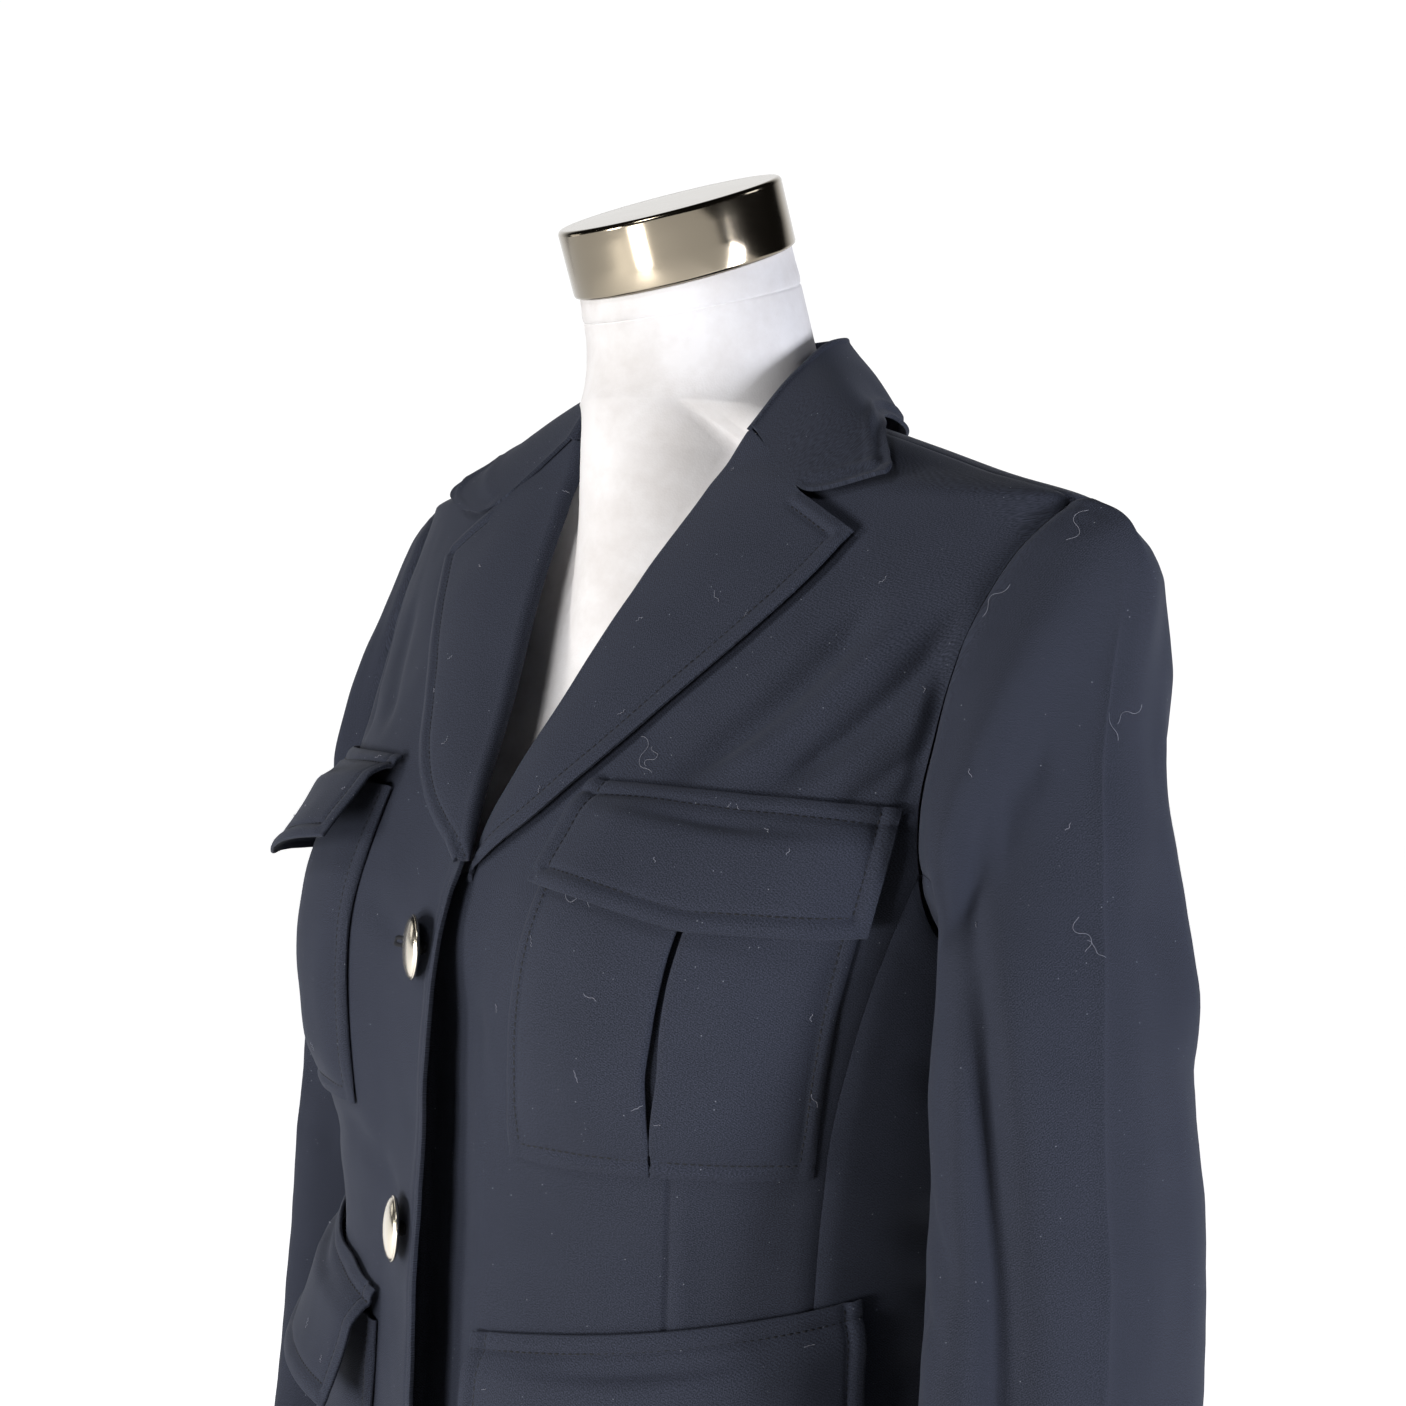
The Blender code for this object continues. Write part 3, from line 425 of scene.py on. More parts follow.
def overlap_lift(angle, drop):
    """How far the right front stands off the left one, rising towards its edge."""
    x = np.sin(angle) * smooth(SECTIONS, "half_width", drop)
    share = np.clip((OVERLAP_START_X - x) / (OVERLAP_START_X + FRONT_EDGE_X), 0, 1)
    below_lapel = ease((drop - OVERLAP_TOP_DROP) / 0.060)
    return smooth(OVERLAP, "lift", drop) * share ** 1.5 * below_lapel


def creases(table, radius, side, angle, drop):
    """The height of all soft troughs and ridges of a table at a place on the cloth."""
    across = np.degrees(angle) * math.pi / 180 * radius
    total = np.zeros(np.broadcast(angle, drop).shape)
    for of_side, angle_1, drop_1, angle_2, drop_2, bow, width, height in table:
        if of_side in (0, side):
            x1, x2 = (math.radians(a) * radius for a in (angle_1, angle_2))
            length = math.hypot(x2 - x1, drop_2 - drop_1)
            ux, uy = (x2 - x1) / length, (drop_2 - drop_1) / length
            t = ((across - x1) * ux + (drop - drop_1) * uy) / length
            off = (drop - drop_1) * ux - (across - x1) * uy - bow * np.sin(np.clip(t, 0, 1) * math.pi)
            swell = width * (1 + 0.35 * np.sin(t * 2.6 + angle_1))
            ends = ease(t / 0.28) * ease((1 - t) / 0.28)
            total += height * bell(off, swell) * ends
    return total


def ripple(a, b, size, seed):
    """A slow, even unevenness of height 1, from a few crossing waves of about the given size."""
    total = 0
    for k in range(4):
        turn = seed * 1.7 + k * 1.13
        wave = 2 * math.pi / (size * (0.75 + 0.22 * k))
        total = total + np.sin(wave * (a * math.cos(turn) + b * math.sin(turn)) + seed * 2.9 + k * 2.1)
    return total / 4


def body_relief(side, angle, drop):
    """Creases of the body's cloth, with the slight unevenness of pressed wool."""
    slow = 0.0005 * ripple(angle * BODY_FLAT_RADIUS, drop, 0.055, 2 + side)
    slow = slow + 0.00022 * ripple(angle * BODY_FLAT_RADIUS, drop, 0.021, 5 + side)
    near_shoulder = ease((drop - 0.03) / 0.05)
    return (creases(BODY_CREASES, BODY_FLAT_RADIUS, side, angle, drop) + slow) * mix(0.35, 1.0, near_shoulder)


def graded(count, keep=0.45):
    """Shares from 0 to 1, closer together at both ends."""
    t = np.linspace(0, 1, count + 1)
    return t - (1 - keep) * np.sin(2 * math.pi * t) / (2 * math.pi)


def with_extra(shares, centre, half, count):
    """Shares with a closer run of steps round one place."""
    kept = shares[np.abs(shares - centre) > half]
    return np.sort(np.concatenate([kept, np.linspace(centre - half, centre + half, count)]))


def mirrored(side, points):
    """The same points on the wearer's left (1) or right (-1)."""
    return points * np.array([side, 1.0, 1.0])


def arcs(points, axis):
    """Distance run along one direction of a grid of points."""
    steps = np.linalg.norm(np.diff(points, axis=axis), axis=-1)
    return np.concatenate([np.zeros_like(np.take(steps, [0], axis)), np.cumsum(steps, axis=axis)], axis=axis)


def grid_normals(points, outside):
    """The direction square to a grid at each of its points, on the side that shows."""
    across = np.gradient(points, axis=1)
    up = np.gradient(points, axis=0)
    return unit(np.cross(across, up)) * outside


def grid_mesh(name, points, outside):
    """A mesh of quads over a grid of points, with its flat layout in metres as the UV map."""
    rows, columns = points.shape[:2]
    index = np.arange(rows * columns).reshape(rows, columns)
    quads = np.stack([index[:-1, :-1], index[:-1, 1:], index[1:, 1:], index[1:, :-1]], axis=-1).reshape(-1, 4)
    if outside < 0:
        quads = quads[:, ::-1]
    mesh = bpy.data.meshes.new(name)
    mesh.from_pydata(points.reshape(-1, 3).tolist(), [], quads.tolist())
    flat = np.stack([arcs(points, 1), arcs(points, 0)], axis=-1).reshape(-1, 2)
    layer = mesh.uv_layers.new(name="flat_cloth")
    layer.data.foreach_set("uv", flat[quads.reshape(-1)].astype(np.float32).ravel())
    mesh.shade_smooth()
    return mesh


def cut_size(points):
    """The width, length and area of one layer of a grid, laid flat."""
    across = points[:-1, 1:] - points[:-1, :-1]
    up = points[1:, :-1] - points[:-1, :-1]
    other_across = points[1:, 1:] - points[1:, :-1]
    other_up = points[1:, 1:] - points[:-1, 1:]
    area = (np.linalg.norm(np.cross(across, up), axis=-1)
            + np.linalg.norm(np.cross(other_across, other_up), axis=-1)).sum() / 2
    width = arcs(points, 1)[:, -1].max()
    length = arcs(points, 0)[-1].max()
    return width, max(length, area / width * 1.001), area


def edge_distances(points):
    """How far each point lies from the grid's four sides, square to each side."""
    along, up = arcs(points, 1), arcs(points, 0)
    lean = np.cross(unit(np.gradient(points, axis=1)), unit(np.gradient(points, axis=0)))
    lean = np.linalg.norm(lean, axis=-1)
    return {"left": along * lean[:, :1], "right": (along[:, -1:] - along) * lean[:, -1:],
            "bottom": up * lean[:1], "top": (up[-1:] - up) * lean[-1:]}


class Cloth:
    """One cut piece of cloth: a grid of points laid out on the body, with its folds and seams worked in."""

    def __init__(self, name, place, columns, rows, outside, relief, seams="", wall=WALL, offset=-1.0):
        u, v = np.meshgrid(np.asarray(columns, float), np.asarray(rows, float))
        base = place(u, v)
        normals = grid_normals(base, outside)
        self.edges = edge_distances(base)
        lift = relief(u, v, self.edges)
        for seam in seams.split():
            from_seam = self.edges[seam]
            lift = lift - SEAM_SINK * bell(from_seam, SEAM_SINK_WIDTH)
            lift = lift + SEAM_SWELL * bell(from_seam - SEAM_SWELL_IN, SEAM_SWELL_WIDTH)
        self.points = base + normals * lift[..., None]
        self.normals = grid_normals(self.points, outside)
        self.size = cut_size(self.points)
        points = self.points
        for seam in seams.split():
            axis, at = {"left": (1, 0), "right": (1, -1), "bottom": (0, 0), "top": (0, -1)}[seam]
            out = np.take(grid_normals(points, outside), [at], axis)
            turned = np.take(points, [at], axis) - out * SEAM_TURNING
            order = [turned, points] if at == 0 else [points, turned]
            points = np.concatenate(order, axis=axis)
        mesh = grid_mesh(name, points, outside)
        mesh.materials.append(NAVY)
        self.object = bpy.data.objects.new(name, mesh)
        bpy.context.scene.collection.objects.link(self.object)
        thicken = self.object.modifiers.new("wall", "SOLIDIFY")
        thicken.thickness = wall
        thicken.offset = offset
        if not seams or wall > THIN_WALL:
            soften = self.object.modifiers.new("turned_edge", "BEVEL")
            soften.width = wall * 0.38
            soften.segments = 2
            soften.limit_method = "ANGLE"
            soften.angle_limit = math.radians(55)
        self.shown = None
        self.face_height = wall * (1 + offset) / 2
        CLOTHS[name] = self

    def declare(self, node):
        """Stands for its solid and rides with it."""
        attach(self.object, "root")
        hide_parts(node)

    def line(self, edge, distance, keep=()):
        """The run of points at a distance from one edge, left out where it is nearer to another kept edge."""
        span = self.edges[edge]
        points, normals, near = [], [], []
        by_row = edge in ("left", "right")
        count = span.shape[0] if by_row else span.shape[1]
        shown = np.ones(count, bool) if self.shown is None else self.shown
        for k in np.flatnonzero(shown):
            values = span[k] if by_row else span[:, k]
            order = np.argsort(values)
            if values[order[-1]] < distance:
                continue

            def read(grid):
                run = grid[k] if by_row else grid[:, k]
                run = run[order]
                if run.ndim == 1:
                    return np.interp(distance, values[order], run)
                return np.array([np.interp(distance, values[order], run[:, c]) for c in range(3)])

            points.append(read(self.points))
            normals.append(read(self.normals))
            near.append(min([read(self.edges[other]) for other in keep] or [1.0]))
        inside = np.array(near) >= distance * 0.98
        out = unit(np.array(normals)[inside])
        return np.array(points)[inside] + out * self.face_height, out


class Sewing:
    """Stitches gathered into one mesh, each a small raised ridge of thread."""

    def __init__(self):
        self.verts = []
        self.faces = []

    def run(self, points, normals, pitch=STITCH_PITCH, length=STITCH_LENGTH, width=STITCH_WIDTH):
        """Even stitches along a line, each dipping into the cloth at both ends."""
        if len(points) < 2:
            return
        steps = np.concatenate([[0], np.cumsum(np.linalg.norm(np.diff(points, axis=0), axis=-1))])
        for start in np.arange(pitch * 0.3, steps[-1] - length, pitch):
            places = start + np.array([0.0, 0.22, 0.5, 0.78, 1.0]) * length
            spine = np.stack([np.interp(places, steps, points[:, c]) for c in range(3)], axis=-1)
            out = unit(np.stack([np.interp(places, steps, normals[:, c]) for c in range(3)], axis=-1))
            forward = unit(spine[-1:] - spine[:1])
            beside = unit(np.cross(out, forward))
            wide = width / 2 * np.array([0.35, 0.9, 1.0, 0.9, 0.35])[:, None]
            high = width * np.array([-0.35, 0.32, 0.48, 0.32, -0.35])[:, None]
            first = len(self.verts)
            foot = out * (high * 0.2)
            ridge = (spine + beside * wide + foot, spine + out * high, spine - beside * wide + foot)
            for k in range(len(places)):
                self.verts.extend([line[k] for line in ridge])
            for k in range(len(places) - 1):
                a = first + 3 * k
                self.faces.extend([(a, a + 1, a + 4, a + 3), (a + 1, a + 2, a + 5, a + 4)])

    def finish(self, name, finish):
        """Turns the stitches gathered so far into a piece."""
        mesh = bpy.data.meshes.new(name)
        mesh.from_pydata([tuple(p) for p in self.verts], [], self.faces)
        mesh.shade_smooth()
        mesh.materials.append(finish)
        made = bpy.data.objects.new(name, mesh)
        bpy.context.scene.collection.objects.link(made)
        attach(made, "root")


def channel(edges, names, distance):
    """The groove that a row of stitches presses in, beside the roll of a turned edge."""
    total = 0
    for name in names:
        others = [edges[other] for other in names if other != name]
        nearest = np.minimum.reduce(others) if others else 1.0
        inside = ease((nearest - distance * 0.5) / (distance * 0.4))
        off = edges[name] - distance
        total = total - CHANNEL_DEPTH * bell(off, CHANNEL_WIDTH) * inside
        total = total + EDGE_ROLL * bell(off + distance * 0.55, distance * 0.32) * inside
    return total


def rows_to_top(below, above):
    """Rows of a front or back: closer together at the hem and the armpit, and even from there up."""
    upper = ARMPIT_ROW + np.linspace(0, 1, above)[1:] * (1 - ARMPIT_ROW)
    return np.concatenate([graded(below) * ARMPIT_ROW, upper])


def make_front(side, word):
    """A front: hem to shoulder seam, front edge and roll line to side seam and armhole."""
    edge_x = UNDER_EDGE_X if side > 0 else -FRONT_EDGE_X

    def layout(u, v):
        low, high = below_and_above(v, ARMPIT_ROW)
        up_roll = np.clip((v - ARMPIT_ROW) / (NECK_ROW - ARMPIT_ROW), 0, 1)
        to_neck = np.clip((v - NECK_ROW) / (1 - NECK_ROW), 0, 1)
        edge_drop = mix(LENGTH, BREAK_DROP, low)
        roll_x, roll_drop = roll_line(side, up_roll)
        near_break = ease((v - ARMPIT_ROW + 0.015) / 0.015)
        front_x = mix(edge_x, FRONT_EDGE_X * side, near_break)
        inner_x = np.where(v > ARMPIT_ROW, roll_x, front_x)
        inner_drop = np.where(v > ARMPIT_ROW, roll_drop, edge_drop)
        inner = angle_at(inner_x, inner_drop)
        inner = mix(inner, math.radians(SHOULDER_ANGLE) - SHOULDER_GAP, to_neck ** 1.3)
        inner_drop = mix(inner_drop, 0.0, to_neck)
        hole_angle, hole_drop = armhole(mix(FRONT_SEAM_ALONG, 0.0, high))
        seam_drop = mix(LENGTH, SIDE_DROP, low)
        seam_angle = np.radians(smooth(FRONT_SEAM, "angle", seam_drop))
        outer = np.where(v > ARMPIT_ROW, hole_angle, seam_angle)
        outer_drop = np.where(v > ARMPIT_ROW, hole_drop, seam_drop)
        outer = outer - mix(SEAM_ANGLE_GAP, SHOULDER_GAP, high)
        return mix(inner, outer, u), mix(inner_drop, outer_drop, u)

    def place(u, v):
        angle, drop = layout(u, v)
        lift = overlap_lift(angle, drop) if side < 0 else 0.0
        return mirrored(side, over_body(angle, drop, lift))

    def relief(u, v, edges):
        angle, drop = layout(u, v)
        in_dart = ease((drop - DART_ENDS[0]) / 0.05) * ease((DART_ENDS[1] - drop) / 0.05)
        from_dart = (angle - DART_ANGLE) * BODY_FLAT_RADIUS
        dart = DART_SWELL * bell(from_dart - 0.006, 0.0035) - DART_SINK * bell(from_dart, 0.0016)
        below_break = ease((drop - BREAK_DROP - 0.004) / 0.010)
        placket = channel(edges, ("left",), BAG_STITCH) * below_break
        wave = 0.0007 * np.sin(drop * 41 + side) * bell(edges["left"], 0.030) * below_break
        sunk = 0.0
        if side > 0:
            x = np.sin(angle) * BODY_FLAT_RADIUS
            beside_edge = ease((x + 0.014) / 0.012) * ease((0.040 - x) / 0.022)
            sunk = -UNDERLAP_SINK * beside_edge * ease((drop - BREAK_DROP - 0.02) / 0.05)
        return body_relief(side, angle, drop) + dart * in_dart + placket + wave + sunk

    columns = with_extra(graded(76), 0.66, 0.03, 15)
    rows = rows_to_top(104, 78)
    piece = Cloth(f"blazer_front_{word}", place, columns, rows, side, relief, seams="right top")
    piece.declare(f"front_{word}")
    if side < 0:
        points, normals = piece.line("left", BAG_STITCH)
        below = points[:, 2] < NECK_POINT - BREAK_DROP - 0.006
        SEWN.run(points[below], normals[below])


def make_side(side, word):
    """A side panel, from the hem to the lower part of the armhole."""
    def layout(u, v):
        top_angle, top_drop = armhole(mix(FRONT_SEAM_ALONG, BACK_SEAM_ALONG, u))
        drop = mix(LENGTH, top_drop, v)
        front = np.radians(smooth(FRONT_SEAM, "angle", drop))
        back = np.radians(smooth(BACK_SEAM, "angle", drop))
        top_straight = mix(*(math.radians(seam["angle"][0]) for seam in (FRONT_SEAM, BACK_SEAM)), u)
        gap = mix(SEAM_ANGLE_GAP, -SEAM_ANGLE_GAP, u)
        return mix(front, back, u) + (top_angle - top_straight) * ease((v - 0.7) / 0.3) + gap, drop

    def place(u, v):
        return mirrored(side, over_body(*layout(u, v)))

    def relief(u, v, edges):
        return body_relief(side, *layout(u, v))

    piece = Cloth(f"blazer_side_{word}", place, graded(36), graded(150), side, relief, seams="left right top")
    piece.declare(f"side_{word}")


def make_back(side, word):
    """A back: centre seam to side seam, armhole and shoulder seam."""
    def layout(u, v):
        low, high = below_and_above(v, ARMPIT_ROW)
        hole_angle, hole_drop = armhole(mix(BACK_SEAM_ALONG, 1.0, high))
        seam_drop = mix(LENGTH, SIDE_DROP, low)
        seam_angle = np.radians(smooth(BACK_SEAM, "angle", seam_drop))
        outer = np.where(v > ARMPIT_ROW, hole_angle, seam_angle) + mix(SEAM_ANGLE_GAP, SHOULDER_GAP, high)
        outer_drop = np.where(v > ARMPIT_ROW, hole_drop, seam_drop)
        centre_drop = np.where(v > ARMPIT_ROW, mix(SIDE_DROP, 0.0, high), seam_drop)
        seam_end = math.radians(SHOULDER_ANGLE) + SHOULDER_GAP
        seam_share, neck_share = below_and_above(u, SHOULDER_SHARE)
        top_angle = mix(seam_end, math.pi, neck_share)
        top_drop = mix(ARMHOLE["drop"][0], 0.0, seam_share)
        to_top = high ** 2.5
        angle = mix(outer, math.pi, u) + (top_angle - mix(seam_end, math.pi, u)) * to_top
        drop = mix(outer_drop, centre_drop, u) + (top_drop - mix(ARMHOLE["drop"][0], 0.0, u)) * to_top
        return angle, drop

    def place(u, v):
        points = over_body(*layout(u, v))
        points[..., 0] = np.maximum(points[..., 0], 0.00015)
        return mirrored(side, points)

    def relief(u, v, edges):
        return body_relief(side, *layout(u, v))

    rows = rows_to_top(92, 76)
    piece = Cloth(f"blazer_back_{word}", place, graded(62), rows, side, relief, seams="left right top")
    piece.declare(f"back_{word}")


def sleeve_point(along, drop):
    """The arm's tube: an ellipse whose front, inner, back and outer sides follow the armhole."""
    turn = np.radians(smooth(SLEEVE_FEED, "round", along, "along"))
    x = smooth(SLEEVE, "x", drop) + smooth(SLEEVE, "thick", drop) * np.cos(turn)
    y = smooth(SLEEVE, "y", drop) - smooth(SLEEVE, "wide", drop) * np.sin(turn)
    return np.stack(np.broadcast_arrays(x, y, NECK_POINT - drop), axis=-1)


def make_sleeve(side, word, part, alongs, rows):
    """One piece of a sleeve: a straight tube below, and a cap that runs into the armhole."""
    def feed(u):
        along = np.clip(u, alongs[0] + SLEEVE_GAP, alongs[-1] - SLEEVE_GAP) % 1.0
        turn = np.radians(smooth(SLEEVE_FEED, "round", along, "along"))
        return along, turn, CAP_DROP - CAP_DROP_SWING * np.cos(turn)

    def place(u, v):
        along, turn, cap_drop = feed(u)
        low, high = below_and_above(v, CAP_ROW)
        tube = sleeve_point(along, mix(SLEEVE_END, cap_drop, low))
        angle, drop = armhole(along)
        rise = np.clip(outward(angle, drop)[..., 2], 0, 1)
        at_front = bell(turn - HEAD_FRONT, HEAD_FRONT_WIDTH)[..., None]
        away = unit(np.array([1.0, 0.12, 0.0]) + rise[..., None] * np.array([0.0, 0.0, 0.25])
                    + at_front * np.array(HEAD_FRONT_LEAN))
        start = body(angle, drop) + away * 0.0001
        end = sleeve_point(along, cap_drop)
        upward = unit(end - sleeve_point(along, cap_drop + 0.01))
        reach = np.linalg.norm(end - start, axis=-1, keepdims=True)
        first_handle = start + away * reach * HEAD_HANDLE
        last_handle = end + upward * reach * ARM_HANDLE
        t = 1 - high[..., None]
        curve = ((1 - t) ** 3 * start + 3 * t * (1 - t) ** 2 * first_handle
                 + 3 * t * t * (1 - t) * last_handle + t ** 3 * end)
        return mirrored(side, np.where(v[..., None] > CAP_ROW, curve, tube))

    def relief(u, v, edges):
        along, turn, cap_drop = feed(u)
        low, high = below_and_above(v, CAP_ROW)
        hole_drop = armhole(along)[1]
        drop = mix(mix(SLEEVE_END, cap_drop, low), hole_drop, high)
        folds = (creases(SLEEVE_CREASES, SLEEVE_FLAT_RADIUS, side, turn, drop)
                 + creases(SLEEVE_CREASES, SLEEVE_FLAT_RADIUS, side, turn - 2 * math.pi, drop))
        slow = 0.0007 * ripple(np.sin(turn) * 0.06, drop, 0.070, 7 + side)
        slow = slow + 0.0003 * ripple(np.cos(turn) * 0.05 + np.sin(turn) * 0.05, drop, 0.026, 11 + side)
        from_line = (turn - np.radians(smooth(PRESSED_CREASE, "round", drop))) * SLEEVE_FLAT_RADIUS
        pressed = PRESSED_HEIGHT * np.exp(-np.abs(from_line) / PRESSED_WIDTH) * ease((drop - 0.085) / 0.05)
        from_trough = (turn - np.radians(smooth(FRONT_TROUGH, "round", drop))) * SLEEVE_FLAT_RADIUS
        deepness = ease((drop - 0.175) / 0.10) * mix(1.0, 0.7, ease((drop - 0.4) / 0.2))
        folds = folds + pressed - TROUGH_DEPTH * bell(from_trough, TROUGH_WIDTH) * deepness
        from_hole = edges["top"]
        on_head = 0.5 + 0.5 * np.cos(turn)
        eased = 0.00018 * np.sin(turn * 23 + 2.3 * np.sin(turn * 5)) * bell(from_hole - 0.009, 0.010)
        roped = 0.0016 * bell(from_hole - 0.0060, 0.0058) * on_head
        shoulder_free = ease(from_hole / 0.030)
        return (folds + slow) * shoulder_free + roped + eased * mix(0.4, 1.0, on_head)

    piece = Cloth(f"blazer_sleeve_{part}_{word}", place, alongs, rows, -side, relief, seams="left right top")
    piece.declare(f"sleeve_{part}_{word}")


def lapel_layout(side, u, v):
    """Where a point of a lapel lies over the front: an angle, a drop and a height over the body."""
    roll_x, roll_drop = roll_line(side, v)
    edge_x = smooth(LAPEL_EDGE, "x", v, "along")
    edge_drop = smooth(LAPEL_EDGE, "drop", v, "along")
    if side < 0:
        edge_x = edge_x - 2 * FRONT_EDGE_X * (1 - v) ** 3
    across = np.clip(u, 0, 1)
    tip_x = LAPEL_EDGE["x"][-1]
    tip_drop = LAPEL_EDGE["drop"][-1]
    before, after = below_and_above(across, NOTCH_SHARE)
    on_gorge = across < NOTCH_SHARE
    top_x = np.where(on_gorge, mix(GORGE_X, NOTCH_X, before), mix(NOTCH_X, tip_x, after))
    top_drop = np.where(on_gorge, mix(GORGE_DROP, NOTCH_DROP, before), mix(NOTCH_DROP, tip_drop, after))
    flat_x = mix(GORGE_X, tip_x, across)
    flat_drop = mix(GORGE_DROP, tip_drop, across)
    blend = v ** 3
    x = mix(roll_x, edge_x, across) + (top_x - flat_x) * blend
    drop = mix(roll_drop, edge_drop, across) + (top_drop - flat_drop) * blend + GORGE_GAP * v
    if side < 0:
        x = roll_x + (x - roll_x) * smooth(RIGHT_SETTLE, "narrower", v, "along")
        drop = drop + smooth(RIGHT_SETTLE, "lower", v, "along") * across
    wrap = np.clip(-u, 0, 1.3) * math.pi / 2
    x = x - LAPEL_WRAP * np.sin(wrap)
    over_front = overlap_lift(angle_at(x, drop), drop) if side < 0 else 0.0
    lift = LAPEL_ROLL_LIFT + (LAPEL_LIFT - LAPEL_ROLL_LIFT) * np.sin(across * math.pi * 0.75)
    lift = np.where(u < 0, (LAPEL_ROLL_LIFT + 0.0012) * np.cos(wrap) - 0.0012, lift)
    lift = lift * mix(0.35, 1.0, ease((v + 0.04) / 0.14)) + over_front
    return angle_at(x, drop), drop, lift


def make_lapel(side, word):
    """A lapel: it wraps the front's roll line and lies over the front."""
    def place(u, v):
        return mirrored(side, over_body(*lapel_layout(side, u, v)))

    def relief(u, v, edges):
        angle, drop, lift = lapel_layout(side, u, v)
        free_top = dict(edges, top=np.where(u >= NOTCH_SHARE - 0.02, edges["top"], 0.05))
        swell = 0.0014 * np.sin(np.clip(u, 0, 1) * math.pi) * ease(v / 0.3) * ease((1 - v) / 0.25)
        settle = body_relief(side, angle, drop) * 0.55
        return settle + swell + channel(free_top, ("right", "top"), EDGE_STITCH)

    wrapped = np.linspace(-1.25, 0, 11)[:-1]
    inner = NOTCH_SHARE * np.linspace(0, 1, 27)
    outer = NOTCH_SHARE + (1 - NOTCH_SHARE) * graded(26, 0.35)[1:]
    columns = np.concatenate([wrapped, inner, outer])
    start = -0.04 if side > 0 else 0.0
    rows = np.concatenate([np.linspace(start, 0.85, 88), 0.85 + 0.15 * graded(34, 0.4)[1:]])
    piece = Cloth(f"blazer_lapel_{word}", place, columns, rows, side, relief)
    piece.declare(f"lapel_{word}")
    SEWN.run(*piece.line("right", EDGE_STITCH, keep=("top",)))
    piece.shown = columns >= NOTCH_SHARE
    SEWN.run(*piece.line("top", EDGE_STITCH, keep=("right",)))


def through(knots, points, at):
    """A smooth curve through points, one array of them for each knot, read at the shares in at."""
    slopes = [(points[1] - points[0]) / (knots[1] - knots[0])]
    for k in range(1, len(knots) - 1):
        slopes.append((points[k + 1] - points[k - 1]) / (knots[k + 1] - knots[k - 1]))
    slopes.append((points[-1] - points[-2]) / (knots[-1] - knots[-2]))
    result = np.array(points[0])
    for k in range(len(knots) - 1):
        step = knots[k + 1] - knots[k]
        t = np.clip((at - knots[k]) / step, 0, 1)[..., None]
        start = (1 + 2 * t) * (1 - t) ** 2 * points[k] + t * (1 - t) ** 2 * step * slopes[k]
        end = t * t * (3 - 2 * t) * points[k + 1] + t * t * (t - 1) * step * slopes[k + 1]
        result = np.where((at >= knots[k])[..., None], start + end, result)
    return result


def make_collar():
    """The collar: a stand from the neck seam up to the roll, and a fall over the shoulders."""
    def place(u, v):
        along = np.abs(u)
        seam_angle = np.radians(smooth(COLLAR, "seam_angle", along, "along"))
        seam_drop = smooth(COLLAR, "seam_drop", along, "along")
        seam = body(seam_angle, seam_drop) * np.array([COLLAR_INSET, COLLAR_INSET, 1.0])
        seam[..., 2] += COLLAR_SEAM_RISE
        roll = np.stack([smooth(COLLAR, "roll_x", along, "along"), smooth(COLLAR, "roll_y", along, "along"),
                         NECK_POINT + smooth(COLLAR, "roll_rise", along, "along")], axis=-1)
        edge_angle = np.radians(smooth(COLLAR, "edge_angle", along, "along"))
        edge_drop = smooth(COLLAR, "edge_drop", along, "along")
        on_right = ease((along - 0.35) / 0.65) * (u < 0)
        edge_angle = edge_angle - math.radians(RIGHT_COLLAR["turn"]) * on_right
        edge_drop = edge_drop + RIGHT_COLLAR["lower"] * on_right
        edge = over_body(edge_angle, edge_drop, COLLAR_LIFT)
        corner_drop = NOTCH_DROP - 0.0015 + np.where(u < 0, RIGHT_COLLAR["corner_lower"], 0.0)
        corner_x = np.where(u < 0, mix(GORGE_X, NOTCH_X, RIGHT_COLLAR["corner_share"]), NOTCH_X) - 0.001
        corner = over_body(angle_at(corner_x, corner_drop), corner_drop, COLLAR_LIFT)
        middle = mix(roll, edge, 0.5) + np.array([0, 0, COLLAR_BULGE])
        at_end = ease((along - 0.75) / 0.25)[..., None] ** 2
        middle = mix(middle, corner, at_end)
        outer_roll = roll + (edge - roll) * np.array([0.06, 0.06, 0.03])
        top = mix(roll, outer_roll, 0.5) + np.array([0, 0, 0.0016])
        points = through(COLLAR_KNOTS, [seam, roll, top, outer_roll, middle, edge], v)
        return points * np.stack([np.where(u < 0, -1.0, 1.0), np.ones_like(u), np.ones_like(u)], axis=-1)

    def relief(u, v, edges):
        falling = ease((v - 0.5) / 0.2)
        free = {"top": edges["top"]}
        for end in ("left", "right"):
            free[end] = np.where(v > COLLAR_KNOTS[4], edges[end], 0.05)
        slow = 0.0005 * ripple(u * 0.2, v * 0.08, 0.050, 3) + 0.0009 * np.sin(u * 9 + 0.7) * (v - 0.5)
        return slow * falling + channel(free, ("top", "left", "right"), EDGE_STITCH) * falling

    half = np.linspace(0, 0.8, 60)
    ends = 0.8 + 0.2 * graded(34, 0.5)[1:]
    right = np.concatenate([half, ends])
    columns = np.concatenate([-right[::-1], right[1:]])
    rows = np.concatenate([np.linspace(0, 0.38, 14), np.linspace(0.38, 0.54, 14)[1:],
                           0.54 + 0.46 * graded(34, 0.5)[1:]])
    piece = Cloth("blazer_collar", place, columns, rows, -1, relief, offset=0.0)
    piece.declare("collar")
    SEWN.run(*piece.line("top", EDGE_STITCH, keep=("left", "right")))
    for end in ("left", "right"):
        piece.shown = rows > COLLAR_KNOTS[4]
        SEWN.run(*piece.line(end, EDGE_STITCH, keep=("top",)))


